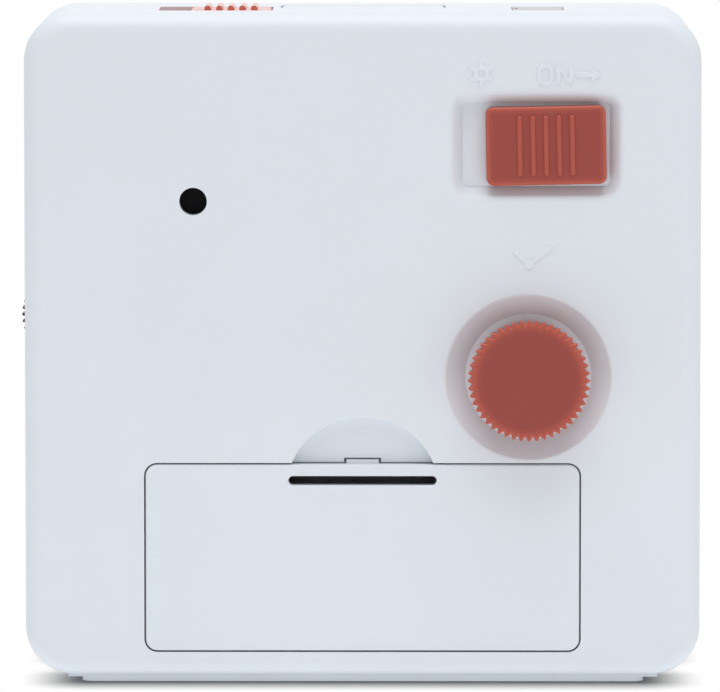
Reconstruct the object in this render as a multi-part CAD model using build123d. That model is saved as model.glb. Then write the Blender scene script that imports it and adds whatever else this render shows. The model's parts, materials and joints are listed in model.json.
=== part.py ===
from build123d import *
import math
import os

# Square bedside alarm clock with a quartz movement, one AA cell and sliding controls.
# Lengths are millimetres. X runs across the clock, Y from its dial to its back, Z up.
# The origin is the middle of the foot's underside. A place is a pair of X and Z.

# Clearances that all pieces share
fit = 0.1
slide_gap = 0.2
turn_gap = 0.05
overrun = 1.0

# Case
case_width = 88.0
case_wall = 2.0
case_corner = 6.25
back_fillet = 2.4
front_fillet = 1.6
bezel_depth = 6.0
bezel_flange = 1.5
bezel_border = 5.5
bezel_lip = 1.2
window_fillet = 0.6
lens_thickness = 1.5
spacer_depth = 4.2
spacer_wall = 2.4
dial_thickness = 0.8
dial_post_inset = 6.5
dial_post_radius = 2.0
centre_above_lid = 15.3

# Foot
pad_height = 0.7
pad_inset = 7.3
pad_back_inset = 3.0
pad_front_inset = 1.0
pad_corner = 1.5
plinth_height = 0.4
plinth_inset = 5.5
plinth_back_inset = 2.3

# Movement plates and gear layers
running_gap = 0.3
layer_gap = 0.2
gear_thickness = 1.0
plate_thickness = 1.4
rear_plate_thickness = 1.2
plate_margin = 3.5
plate_corner = 2.0
layer_count = 7
boss_radius = 3.0
boss_neck_radius = 1.8
pillar_wall = 1.0
switch_boss_gap = 13.15
buzzer_boss_gap = 12.6
boss_below_shelf = 4.2
lower_boss_rise = 3.3
left_boss_x = -30.0
screw_radius = 0.8
screw_head_radius = 1.6
screw_head_height = 0.7
screw_length = 6.0

# Gear teeth, as shares of the module
pressure_angle = 25.0
addendum_share = 0.8
dedendum_share = 1.1
thinning_share = 0.15
fine_teeth = 30

# Setting train: knob shaft, idler, cannon pinion
knob_offset = (-21.57, -4.12)
setting_module = 0.5
setting_teeth = 24
setting_shaft_radius = 1.5
setting_pivot_radius = 1.0

# Motion work: cannon pinion, minute wheel, hour wheel
motion_module = 0.5
cannon_teeth = 10
minute_teeth = 30
minute_pinion_teeth = 10
hour_teeth = 40
minute_wheel_angle = 120.0
stud_radius = 0.7
hub_wall = 0.8

# Running train: motor, intermediate wheel, seconds arbor, third wheel, centre wheel
running_module = 0.3
pinion_teeth = 10
seconds_teeth = 75
third_teeth = 75
centre_teeth = 80
intermediate_teeth = 40
third_angle = 60.0
motor_angle = 150.0
arbor_radius = 0.7
pivot_radius = 0.5

# Alarm train: thumbwheel, idler, alarm wheel
thumb_module = 0.28
thumb_teeth = 42
alarm_teeth = 82
thumb_proud = 1.25
thumb_rise = 2.3
thumb_thickness = 3.0
thumb_post_radius = 2.2
thumb_stud_radius = 1.2
alarm_stud_radius = 1.0
thumb_plate_gap = 1.3

# Concentric tubes, from the inside out
tube_wall = 0.6
hand_thickness = 0.4
hand_gap = 0.5
hub_rim = 1.0
hour_length = 19.0
hour_width = 3.0
minute_length = 28.0
minute_width = 2.4
second_length = 30.0
second_width = 0.9
alarm_length = 17.0
alarm_width = 1.6
tail_share = 0.25
tip_share = 0.55
hour_angle = 305.0
minute_angle = 60.0
second_angle = 210.0
alarm_angle = 195.0

# Stepping motor
magnet_radius = 2.4
magnet_gap = 0.5
stator_thickness = 0.8
stator_width = 10.0
stator_height = 9.0
stator_corner = 1.5
stator_shift = 1.2
stator_pad_radius = 1.0
stator_pad_offset = (-3.4, 2.6)
stator_leg = 1.8
coil_rise = 12.0
coil_length = 11.0
coil_radius = 2.2
coil_core = 1.6
coil_bore_radius = 1.0

# Circuit board and its parts
board_gap = 1.8
board_thickness = 1.2
board_height = 18.5
board_right = 5.0
board_side_gap = 3.5
board_shelf_gap = 0.5
board_post_radius = 2.0
board_post_inset = 2.5
back_space = 6.2
chip_size = (7.0, 1.2, 5.0)
chip_place_shares = (0.80, 0.30)
crystal_radius = 1.0
crystal_length = 6.0
crystal_place_shares = (0.86, 0.55)

# Set knob and its dish
knob_radius = 8.0
knob_teeth = 48
knob_tooth_depth = 0.7
knob_proud = 4.8
knob_edge = 0.35
knob_taper = 0.6
knob_bore_depth = 5.0
knob_floor_gap = 0.2
dish_side_gap = 0.2
dish_width = 2.6
dish_depth = 1.5
dish_rim = 0.6
dish_floor = 1.5

# Light switch
switch_from_side = 21.45
switch_rise = 26.1
switch_recess_corner = 0.9
switch_recess_depth = 1.6
switch_slope = 1.4
switch_rim = 1.2
switch_floor = 2.0
switch_pad_margin = 1.2
button_size = (15.9, 10.5)
button_corner = 0.8
button_edge = 0.4
button_proud = 0.6
button_travel = 2.5
button_end_gap = 0.45
button_side_gap = 0.225
button_ribs = 5
rib_pitch = 1.7
rib_width = 0.6
rib_length = 7.8
rib_height = 0.3
button_neck = (5.0, 4.0)
button_foot = (8.0, 5.4)
button_foot_thickness = 0.8
nub_size = 3.0
nub_reach = 1.7
switch_body_margin = (4.6, 2.4)

# Buzzer
buzzer_from_side = 22.0
buzzer_rise = 18.8
buzzer_hole_radius = 1.8
buzzer_radius = 9.0
buzzer_depth = 4.0
buzzer_ring_wall = 1.0
buzzer_ring_depth = 3.5

# Shelf under the top controls
shelf_drop = 7.0
shelf_thickness = 1.5
shelf_reach = 28.0

# Alarm slider on the top
slider_slot = (14.9, 10.5)
slider_slot_x = 11.8
slider_from_back = 8.5
slider_corner = 0.8
slider_travel = 4.0
slider_flange = 1.0
slider_flange_margin = 1.0
slider_flange_side = 0.4
slider_ribs = 5
slider_rib_pitch = 1.52
slider_rib_width = 0.8
slider_rib_length = 8.0
slider_rib_height = 0.6
slider_nub = 3.0
slider_nub_depth = 2.6
slider_body_gap = 0.4
slider_body_wall = 1.6

# Indicator window and lamp on the top
window_size = (6.6, 9.4)
window_x = -22.9
window_from_back = 14.3
window_corner = 0.6
window_lip = 1.0
window_lip_thickness = 0.8
lamp_radius = 1.5
lamp_collar_radius = 1.9
lamp_collar = 0.8
lamp_height = 4.8
lamp_side_share = 0.25
dial_lamp_inset = 6.0

# Snooze bar on the top
snooze_size = (21.4, 6.6)
snooze_corner = 1.0
snooze_edge = 0.4
snooze_travel = 1.0
snooze_flange = 1.0
snooze_flange_margin = 0.6
snooze_leg = 4.0
snooze_body = 7.0
snooze_body_height = 3.6
snooze_floor = 0.8
plunger_radius = 1.5
plunger_length = 2.8

# Battery door and box
lid_opening = (56.9, 24.8)
lid_corner = 1.7
lid_gap = 0.2
lid_thickness = 1.8
lid_edge = 0.25
lid_bottom_margin = 3.1
lid_slot = (19.3, 1.2)
lid_slot_drop = 2.3
latch_width = 4.2
latch_height = 0.55
latch_drop = 1.15
latch_room = 0.9
latch_gap = 0.3
latch_top_gap = 0.2
hook_spread = 18.0
hook_width = 6.0
hook_thickness = 1.2
hook_drop = 1.05
hook_neck = 1.1
hook_room = 0.8
pivot_inset = 0.3
ledge = 1.1
box_wall = 1.2
box_floor = 1.5
moon_radius = 10.0
moon_top_above_lid = 6.05
moon_shallow = 1.2
moon_deep = 1.5
moon_backing = 1.4
moon_rim = 0.15

# AA cell and contacts
cell_diameter = 14.5
cell_length = 50.5
cell_nub_radius = 2.75
cell_nub_length = 1.3
cell_edge = 0.6
cell_lid_room = 1.4
contact_thickness = 0.4
contact_width = 9.0
contact_height = 10.0
leaf_tip_share = 0.1
leaf_end_share = -0.35
leaf_end_reach_share = 0.45

# Planes along Y, worked out from the front to the back
case_depth = (
    bezel_flange + lens_thickness + spacer_depth + dial_thickness
    + 2 * running_gap + gear_thickness + plate_thickness
    + layer_count * (gear_thickness + layer_gap) + layer_gap + rear_plate_thickness
    + board_gap + board_thickness + back_space + case_wall
)
back = case_depth / 2
front = -back
parting = front + bezel_depth
lens_front = front + bezel_flange
lens_back = lens_front + lens_thickness
dial_front = lens_back + spacer_depth
dial_back = dial_front + dial_thickness
alarm_front = dial_back + running_gap
alarm_back = alarm_front + gear_thickness
plate_front = alarm_back + running_gap
plate_back = plate_front + plate_thickness
rear_plate_front = plate_back + layer_count * (gear_thickness + layer_gap) + layer_gap
rear_plate_back = rear_plate_front + rear_plate_thickness
board_front = rear_plate_back + board_gap
board_back = board_front + board_thickness
inner_back = back - case_wall

# Heights along Z
foot_height = pad_height + plinth_height
lid_bottom = foot_height + lid_bottom_margin
lid_top = lid_bottom + lid_opening[1]
lid_middle = (lid_bottom + lid_top) / 2
centre_z = lid_top + centre_above_lid
case_height = 2 * (centre_z - foot_height)
case_top = foot_height + case_height
inner_top = case_top - case_wall
shelf_top = inner_top - shelf_drop
shelf_bottom = shelf_top - shelf_thickness

# Places on the back face
centre = (0, centre_z)
knob_at = (knob_offset[0], centre_z + knob_offset[1])
switch_at = (switch_from_side - case_width / 2, centre_z + switch_rise)
buzzer_at = (case_width / 2 - buzzer_from_side, centre_z + buzzer_rise)
lid_at = (0, lid_middle)


def polar(place, distance, angle):
    """Place at a distance and an angle in degrees from another, turning from X to Z."""
    return (
        place[0] + distance * math.cos(math.radians(angle)),
        place[1] + distance * math.sin(math.radians(angle)),
    )


def distance_between(first, second):
    """Distance between two places."""
    return math.hypot(second[0] - first[0], second[1] - first[1])


def heading(first, second):
    """Angle in degrees of the line from one place to another."""
    return math.degrees(math.atan2(second[1] - first[1], second[0] - first[0]))


def idler_count(first, second, module, first_teeth, second_teeth):
    """Smallest tooth count of an idler that reaches both of two fixed gears."""
    span = 2 * distance_between(first, second) / module
    return math.ceil((span - first_teeth - second_teeth) / 2)


def idler_place(first, second, module, first_teeth, idler_teeth, second_teeth, side):
    """Centre of an idler that meshes with two fixed gears, on one side of their line."""
    reach_first = module * (first_teeth + idler_teeth) / 2
    reach_second = module * (second_teeth + idler_teeth) / 2
    span = distance_between(first, second)
    along = (reach_first**2 - reach_second**2 + span**2) / (2 * span)
    bend = math.degrees(math.acos(along / reach_first))
    return polar(first, reach_first, heading(first, second) + side * bend)


def mesh_phase(first_phase, first_teeth, direction, second_teeth):
    """Angle of a tooth of the second gear that puts its gaps on the first gear's teeth."""
    offset = (direction - first_phase) * first_teeth / 360
    return direction + 180 - (0.5 - offset) * 360 / second_teeth


def layer(number):
    """Front and back planes of a gear layer, counted from the front plate."""
    start = plate_back + layer_gap + number * (gear_thickness + layer_gap)
    return start, start + gear_thickness


# Gear layers between the plates, from the front to the back
hour_layer = layer(0)
minute_layer = layer(1)
setting_layer = layer(2)
centre_layer = layer(3)
third_layer = layer(4)
seconds_layer = layer(5)
motor_layer = layer(6)
alarm_layer = (alarm_front, alarm_back)

# Places of the arbors
setting_idler_teeth = idler_count(centre, knob_at, setting_module, setting_teeth, setting_teeth)
setting_idler_at = idler_place(
    centre, knob_at, setting_module, setting_teeth, setting_idler_teeth, setting_teeth, 1
)
motion_distance = motion_module * (cannon_teeth + minute_teeth) / 2
hour_module = 2 * motion_distance / (minute_pinion_teeth + hour_teeth)
minute_wheel_at = polar(centre, motion_distance, minute_wheel_angle)
third_distance = running_module * (pinion_teeth + centre_teeth) / 2
third_module = 2 * third_distance / (pinion_teeth + third_teeth)
third_at = polar(centre, third_distance, third_angle)
intermediate_distance = running_module * (pinion_teeth + seconds_teeth) / 2
intermediate_at = polar(centre, intermediate_distance, motor_angle)
rotor_distance = running_module * (pinion_teeth + intermediate_teeth) / 2
rotor_at = polar(intermediate_at, rotor_distance, motor_angle)
thumb_radius = thumb_module * (thumb_teeth / 2 + addendum_share)
thumb_at = (case_width / 2 + thumb_proud - thumb_radius, centre_z + thumb_rise)
alarm_idler_teeth = idler_count(centre, thumb_at, thumb_module, alarm_teeth, thumb_teeth)
alarm_idler_at = idler_place(
    centre, thumb_at, thumb_module, alarm_teeth, alarm_idler_teeth, thumb_teeth, 1
)

# Movement plates and the bosses that carry them
plate_right = thumb_at[0] - thumb_radius - thumb_plate_gap
right_boss_x = plate_right - plate_margin
lower_boss_z = lid_top + box_wall + lower_boss_rise
upper_boss_z = shelf_bottom - boss_below_shelf
plate_left = left_boss_x - plate_margin
plate_bottom = lower_boss_z - plate_margin + fit
plate_top = upper_boss_z + plate_margin
boss_places = [
    (left_boss_x, lower_boss_z),
    (right_boss_x, lower_boss_z),
    (switch_at[0] + switch_boss_gap, upper_boss_z),
    (buzzer_at[0] - buzzer_boss_gap, upper_boss_z),
]
pillar_bore = boss_neck_radius + turn_gap
pillar_radius = pillar_bore + pillar_wall

# Concentric tubes of the hands
seconds_radius = pivot_radius
cannon_bore = seconds_radius + turn_gap
cannon_radius = cannon_bore + tube_wall
hour_bore = cannon_radius + turn_gap
hour_radius = hour_bore + tube_wall
alarm_bore = hour_radius + turn_gap
alarm_radius = alarm_bore + tube_wall
stud_bore = stud_radius + turn_gap

# Planes of the hands, each one nearer to the lens
hand_step = hand_thickness + hand_gap
alarm_hand_front = dial_front - hand_step
hour_hand_front = alarm_hand_front - hand_step
minute_hand_front = hour_hand_front - hand_step
second_hand_front = minute_hand_front - hand_step

# Circuit board
board_left = -(case_width / 2 - case_wall - board_side_gap)
board_top = shelf_bottom - board_shelf_gap
board_bottom = board_top - board_height
board_posts = [
    (board_left + board_post_inset, board_bottom + board_post_inset),
    (board_left + board_post_inset, board_top - board_post_inset),
    (board_right - board_post_inset, board_bottom + board_post_inset),
]

# Dish of the set knob
dish_floor_radius = knob_radius + dish_side_gap
dish_radius = dish_floor_radius + dish_width

# Light switch planes and places
switch_recess = (
    button_size[0] + button_travel + 2 * button_end_gap,
    button_size[1] + 2 * button_side_gap,
)
switch_floor_back = back - switch_recess_depth
switch_floor_front = switch_floor_back - switch_floor
button_back = back + button_proud
button_front = switch_floor_back + fit
foot_back = switch_floor_front - fit
foot_front = foot_back - button_foot_thickness
switch_body_back = foot_front - slide_gap
nub_front = foot_front - nub_reach
button_at = (
    switch_at[0] - switch_recess[0] / 2 + button_end_gap + button_size[0] / 2,
    switch_at[1],
)

# Battery box planes
box_floor_back = inner_back - cell_diameter - cell_lid_room
box_floor_front = box_floor_back - box_floor
cell_y = box_floor_back + fit + cell_diameter / 2
box_half = lid_opening[0] / 2 - ledge
contact_face = box_half - fit
cell_tip_x = contact_face - contact_thickness - fit
lid_front = back - lid_thickness
lid_pivot = (back - pivot_inset, lid_bottom + lid_gap + pivot_inset)

# Top controls: planes and places
slider_slot_at = (
    slider_slot_x + slider_slot[0] / 2,
    back - slider_from_back - slider_slot[1] / 2,
)
slider_size = (
    slider_slot[0] - slider_travel - 2 * slide_gap,
    slider_slot[1] - 2 * slide_gap,
)
slider_at = (slider_slot_x + slide_gap + slider_size[0] / 2, slider_slot_at[1])
slider_flange_bottom = inner_top - fit - slider_flange
window_at = (window_x, back - window_from_back)
snooze_at = (0, dial_back + snooze_flange_margin + 2 * slide_gap + snooze_size[1] / 2)
snooze_flange_bottom = inner_top - turn_gap - snooze_flange
snooze_bore_bottom = shelf_top + snooze_floor
plunger_bottom = snooze_bore_bottom + snooze_travel + slide_gap
plunger_top = plunger_bottom + plunger_length


def prism(outline, near, far):
    """Extrude an outline drawn in X and Z from one Y plane to another."""
    plane = Plane(origin=(0, far, 0), x_dir=(1, 0, 0), z_dir=(0, -1, 0))
    return extrude(plane * outline, amount=far - near, dir=(0, -1, 0))


def lift(outline, bottom, top):
    """Extrude an outline drawn in X and Y from one height to another."""
    return extrude(Plane.XY.offset(bottom) * outline, amount=top - bottom, dir=(0, 0, 1))


def across(outline, left, right):
    """Extrude an outline drawn in Y and Z from one X plane to another."""
    return extrude(Plane.YZ.offset(left) * outline, amount=right - left, dir=(1, 0, 0))


def disc(place, radius, near, far):
    """Round bar along Y."""
    return prism(Pos(*place) * Circle(radius), near, far)


def funnel(place, near_radius, far_radius, near, far):
    """Cone along Y with its radius at each end."""
    cone = Rot(-90, 0, 0) * Cone(near_radius, far_radius, far - near)
    return Pos(place[0], (near + far) / 2, place[1]) * cone


def tube(place, radius, bore, near, far):
    """Round tube along Y."""
    return prism(Pos(*place) * (Circle(radius) - Circle(bore)), near, far)


def panel(place, size, corner, near, far):
    """Upright plate with round corners."""
    return prism(Pos(*place) * RectangleRounded(size[0], size[1], corner), near, far)


def block(low, high):
    """Box between two corners."""
    middle = [(a + b) / 2 for a, b in zip(low, high)]
    return Pos(*middle) * Box(*[b - a for a, b in zip(low, high)])


def case_outline(inset):
    """Outline of the case, moved inwards."""
    outline = RectangleRounded(case_width - 2 * inset, case_height - 2 * inset, case_corner - inset)
    return Pos(*centre) * outline


def edges_on_plane(part, axis, value, place, reach):
    """Edges that lie in a plane and whose middle is within a reach of a place on that plane."""
    chosen = []
    for edge in part.edges().filter_by_position(axis, value - turn_gap, value + turn_gap):
        middle = edge.position_at(0.5)
        pair = (middle.X, middle.Z) if axis == Axis.Y else (middle.X, middle.Y)
        if abs(pair[0] - place[0]) <= reach[0] and abs(pair[1] - place[1]) <= reach[1]:
            chosen.append(edge)
    return chosen


def involute(angle):
    """Involute function of an angle in radians."""
    return math.tan(angle) - angle


def gear_outline(module, teeth, phase):
    """Spur gear outline with straight flanks between points of the involute."""
    pitch = module * teeth / 2
    base = pitch * math.cos(math.radians(pressure_angle))
    tip = pitch + addendum_share * module
    root = pitch - dedendum_share * module
    half_tooth = math.pi / (2 * teeth) - thinning_share * module / (2 * pitch)

    def half_angle(radius):
        roll = math.acos(min(1, base / radius))
        return half_tooth + involute(math.radians(pressure_angle)) - involute(roll)

    radii = [root, pitch, tip] if teeth < fine_teeth else [root, tip]
    flank = [(radius, half_angle(radius)) for radius in radii]
    profile = [(radius, -angle) for radius, angle in flank] + flank[::-1]
    points = []
    for tooth in range(teeth):
        turn = math.radians(phase) + 2 * math.pi * tooth / teeth
        for radius, angle in profile:
            points.append((radius * math.cos(turn + angle), radius * math.sin(turn + angle)))
    return Polygon(*points, align=None)


def gear(place, module, teeth, phase, planes):
    """Spur gear between two planes."""
    return prism(Pos(*place) * gear_outline(module, teeth, phase), *planes)


# Tooth phases, each worked out from the gear that drives it
cannon_setting_phase = 0
setting_idler_phase = mesh_phase(
    cannon_setting_phase, setting_teeth, heading(centre, setting_idler_at), setting_idler_teeth
)
setting_shaft_phase = mesh_phase(
    setting_idler_phase, setting_idler_teeth, heading(setting_idler_at, knob_at), setting_teeth
)
cannon_phase = 0
minute_phase = mesh_phase(cannon_phase, cannon_teeth, minute_wheel_angle, minute_teeth)
minute_pinion_phase = 0
hour_phase = mesh_phase(
    minute_pinion_phase, minute_pinion_teeth, minute_wheel_angle + 180, hour_teeth
)
seconds_pinion_phase = 0
third_phase = mesh_phase(seconds_pinion_phase, pinion_teeth, third_angle, third_teeth)
third_pinion_phase = 0
centre_phase = mesh_phase(third_pinion_phase, pinion_teeth, third_angle + 180, centre_teeth)
seconds_phase = 0
intermediate_pinion_phase = mesh_phase(seconds_phase, seconds_teeth, motor_angle, pinion_teeth)
intermediate_phase = 0
rotor_phase = mesh_phase(intermediate_phase, intermediate_teeth, motor_angle, pinion_teeth)
thumb_phase = 0
alarm_idler_phase = mesh_phase(
    thumb_phase, thumb_teeth, heading(thumb_at, alarm_idler_at), alarm_idler_teeth
)
alarm_phase = mesh_phase(
    alarm_idler_phase, alarm_idler_teeth, heading(alarm_idler_at, centre), alarm_teeth
)


def shell_skin():
    """Outer walls of the rear shell with the plinth under it."""
    outer = prism(case_outline(0), parting, back)
    outer = fillet(outer.faces().sort_by(Axis.Y)[-1].edges(), back_fillet)
    hollow = prism(case_outline(case_wall), parting - overrun, inner_back)
    plinth = block(
        (-case_width / 2 + plinth_inset, parting, pad_height),
        (case_width / 2 - plinth_inset, back - plinth_back_inset, foot_height + case_wall / 2),
    )
    return outer - hollow + plinth


def shell_bosses():
    """Posts, bosses, shelf, rings and pads that stand on the inside of the back wall."""
    root = back - case_wall / 2
    parts = []
    post_x = case_width / 2 - dial_post_inset
    post_z = case_height / 2 - dial_post_inset
    for side in (-1, 1):
        for level in (-1, 1):
            post = (side * post_x, centre_z + level * post_z)
            parts.append(disc(post, dial_post_radius, dial_back, root))
    for place in boss_places:
        parts.append(disc(place, boss_radius, rear_plate_back, root))
        parts.append(disc(place, boss_neck_radius, plate_back + fit, rear_plate_back + overrun))
    for place in board_posts:
        parts.append(disc(place, board_post_radius, board_back, root))
    ring_bore = buzzer_radius + fit
    parts.append(
        tube(buzzer_at, ring_bore + buzzer_ring_wall, ring_bore, inner_back - buzzer_ring_depth, root)
    )
    parts.append(disc(knob_at, dish_radius + dish_floor, back - dish_depth - dish_floor, root))
    pad = [size + 2 * switch_pad_margin for size in switch_recess]
    parts.append(panel(switch_at, pad, switch_recess_corner, switch_floor_front, root))
    shelf_front = dial_back + lamp_collar + running_gap
    parts.append(block((-shelf_reach, shelf_front, shelf_bottom), (shelf_reach, root, shelf_top)))
    return parts


def battery_box():
    """Closed box round the cell, joined to the back wall and the floor of the case."""
    side = box_half + box_wall
    outer = block(
        (-side, box_floor_front, foot_height + case_wall / 2),
        (side, back - case_wall / 2, lid_top - ledge + box_wall),
    )
    moon = disc((0, lid_top + moon_top_above_lid - moon_radius), moon_radius + moon_backing,
                inner_back - moon_backing, back - case_wall / 2)
    return outer + moon


def battery_cuts():
    """Door opening, cell space, hook pockets, finger recess and latch notch."""
    opening = panel(lid_at, lid_opening, lid_corner, inner_back, back + overrun)
    space = block(
        (-box_half, box_floor_back, lid_bottom + ledge), (box_half, back, lid_top - ledge)
    )
    cuts = [opening, space]
    pocket_bottom = lid_bottom - hook_drop
    for side in (-1, 1):
        reach = hook_width / 2 + slide_gap
        cuts.append(
            block(
                (side * hook_spread - reach, lid_front - 2 * hook_thickness - hook_room, pocket_bottom),
                (side * hook_spread + reach, inner_back, lid_bottom + ledge + fit),
            )
        )
    moon_top = lid_top + moon_top_above_lid
    slope = Polygon(
        (back + overrun, lid_top - fit),
        (back + overrun, moon_top + overrun),
        (back - moon_shallow, moon_top + overrun),
        (back - moon_shallow, moon_top),
        (back - moon_deep, lid_top - fit),
        align=None,
    )
    wedge = across(slope, -moon_radius, moon_radius)
    cuts.append(wedge & disc((0, moon_top - moon_radius), moon_radius, inner_back, back + overrun))
    notch = latch_width / 2 + latch_gap
    cuts.append(
        block(
            (-notch, lid_front - latch_room, lid_top - fit),
            (notch, back - moon_shallow, lid_top - lid_gap + latch_height + latch_top_gap),
        )
    )
    return cuts


def dish_cut():
    """Round dish of the knob with a sloping side, and the hole of its shaft."""
    mouth = dish_radius + overrun * dish_width / dish_depth
    dish = funnel(knob_at, dish_floor_radius, mouth, back - dish_depth, back + overrun)
    hole = disc(knob_at, setting_shaft_radius + 2 * turn_gap, inner_back - dish_depth - overrun, back)
    return [dish, hole]


def switch_cuts():
    """Recess of the light switch and the slot of its neck."""
    recess = panel(switch_at, switch_recess, switch_recess_corner, switch_floor_back, back + overrun)
    slot = (button_neck[0] + button_travel + 2 * fit, button_neck[1] + 2 * fit)
    slot_at = (button_at[0] + button_travel / 2, button_at[1])
    return [recess, prism(Pos(*slot_at) * Rectangle(*slot), switch_floor_front - overrun, back)]


def top_cuts():
    """Openings in the top wall and the thumbwheel's slot in the side wall."""
    slider = Pos(*slider_slot_at) * RectangleRounded(*slider_slot, slider_corner)
    window = Pos(*window_at) * RectangleRounded(
        window_size[0] + 2 * fit, window_size[1] + 2 * fit, window_corner + fit
    )
    bar = Pos(*snooze_at) * RectangleRounded(
        snooze_size[0] + 2 * slide_gap, snooze_size[1] + 2 * slide_gap, snooze_corner + slide_gap
    )
    cuts = [lift(shape, inner_top - fit, case_top + overrun) for shape in (slider, window, bar)]
    inner_side = case_width / 2 - case_wall - thumb_at[0]
    chord = math.sqrt(thumb_radius**2 - inner_side**2) + 2 * slide_gap
    cuts.append(
        block(
            (thumb_at[0], alarm_front - 2 * slide_gap, thumb_at[1] - chord),
            (case_width / 2 + overrun, alarm_front + thumb_thickness + 2 * slide_gap, thumb_at[1] + chord),
        )
    )
    return cuts


def thumb_post():
    """Post and stud of the thumbwheel, standing on the back wall."""
    root = back - case_wall / 2
    post = disc(thumb_at, thumb_post_radius, alarm_front + thumb_thickness + fit, root)
    return [post, disc(thumb_at, thumb_stud_radius, alarm_front, root)]


def rear_shell():
    """Rear half of the case with everything moulded on it."""
    shell = shell_skin().fuse(*shell_bosses(), battery_box())
    holes = [disc(buzzer_at, buzzer_hole_radius, inner_back - overrun, back + overrun)]
    for place in boss_places:
        holes.append(disc(place, screw_radius + turn_gap, plate_back, plate_back + screw_length))
    for place in board_posts:
        holes.append(disc(place, screw_radius + turn_gap, board_back - overrun, inner_back))
    body = shell.cut(*battery_cuts(), *dish_cut(), *switch_cuts(), *top_cuts(), *holes)
    body = body.fuse(*thumb_post())
    dish_reach = (dish_radius + fit, dish_radius + fit)
    body = fillet(edges_on_plane(body, Axis.Y, back, knob_at, dish_reach), dish_rim)
    switch_reach = [size / 2 + fit for size in switch_recess]
    body = chamfer(edges_on_plane(body, Axis.Y, back, switch_at, switch_reach), switch_slope)
    slope_reach = [reach + switch_slope for reach in switch_reach]
    body = fillet(edges_on_plane(body, Axis.Y, back, switch_at, slope_reach), switch_rim)
    moon_reach = (moon_radius, moon_top_above_lid - latch_height - latch_gap)
    moon_at = (0, lid_top + moon_top_above_lid)
    return fillet(edges_on_plane(body, Axis.Y, back, moon_at, moon_reach), moon_rim)


def front_bezel():
    """Front frame: flange round the window and a lip that enters the rear shell."""
    outer = prism(case_outline(0), front, parting)
    outer = fillet(outer.faces().sort_by(Axis.Y)[0].edges(), front_fillet)
    lip = prism(case_outline(case_wall + fit), parting - overrun, dial_back)
    cavity = prism(case_outline(case_wall + fit + bezel_lip), lens_front, dial_back + overrun)
    window = prism(case_outline(bezel_border), front - overrun, lens_front + overrun)
    body = outer + lip - cavity - window
    rim = body.edges().filter_by_position(Axis.Y, front - turn_gap, front + turn_gap)
    inner_rim = [edge for edge in rim if is_window_edge(edge)]
    return fillet(inner_rim, window_fillet)


def is_window_edge(edge):
    """True for an edge of the window opening rather than of the outside."""
    middle = edge.position_at(0.5)
    across_share = abs(middle.X) / (case_width / 2 - bezel_border + fit)
    up_share = abs(middle.Z - centre_z) / (case_height / 2 - bezel_border + fit)
    return max(across_share, up_share) <= 1


def inside_bezel():
    """How far the pieces in the front frame lie inside the outline of the case."""
    return case_wall + bezel_lip + 2 * fit


def lens():
    """Clear pane behind the flange."""
    return prism(case_outline(inside_bezel()), lens_front, lens_back)


def dial_spacer():
    """Frame that holds the dial away from the lens."""
    ring = case_outline(inside_bezel()) - case_outline(inside_bezel() + spacer_wall)
    return prism(ring, lens_back, dial_front)


def dial_lamp_place():
    """Place of the lamp near the top of the dial."""
    return (0, case_top - inside_bezel() - dial_lamp_inset)


def dial():
    """Dial with holes for the hand tubes and the lamp."""
    plate = prism(case_outline(inside_bezel()), dial_front, dial_back)
    hole = disc(centre, alarm_radius + slide_gap, dial_front - overrun, dial_back + overrun)
    lamp_hole = disc(dial_lamp_place(), lamp_radius + turn_gap, dial_front - overrun, dial_back + overrun)
    return plate - hole - lamp_hole


def hand(length, width, bore, angle, plane):
    """Straight tapered hand on a round hub, at a clock angle."""
    tail = length * tail_share
    tip = width * tip_share
    blade = Polygon(
        (-tip / 2, -tail), (tip / 2, -tail), (width / 2, 0), (tip / 2, length), (-tip / 2, length),
        (-width / 2, 0), align=None,
    )
    outline = blade + Circle(bore + hub_rim) - Circle(bore + turn_gap / 2)
    return prism(Pos(*centre) * Rot(0, 0, -angle) * outline, plane, plane + hand_thickness)


def front_plate():
    """Plate behind the dial with the studs of the idlers and bearings of the arbors."""
    size = (plate_right - plate_left, plate_top - plate_bottom)
    middle = ((plate_left + plate_right) / 2, (plate_bottom + plate_top) / 2)
    plate = panel(middle, size, plate_corner, plate_front, plate_back)
    studs = [
        disc(alarm_idler_at, alarm_stud_radius, alarm_front, plate_back),
        disc(minute_wheel_at, stud_radius, plate_front, minute_layer[1]),
        disc(setting_idler_at, stud_radius, plate_front, setting_layer[1]),
    ]
    bores = [
        (centre, hour_radius + turn_gap),
        (knob_at, setting_pivot_radius + turn_gap),
        (third_at, pivot_radius + turn_gap),
        (rotor_at, pivot_radius + turn_gap),
    ]
    bores += [(place, screw_radius + turn_gap) for place in boss_places]
    near, far = plate_front - overrun, plate_back + overrun
    return plate.fuse(*studs).cut(*[disc(place, radius, near, far) for place, radius in bores])


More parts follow.
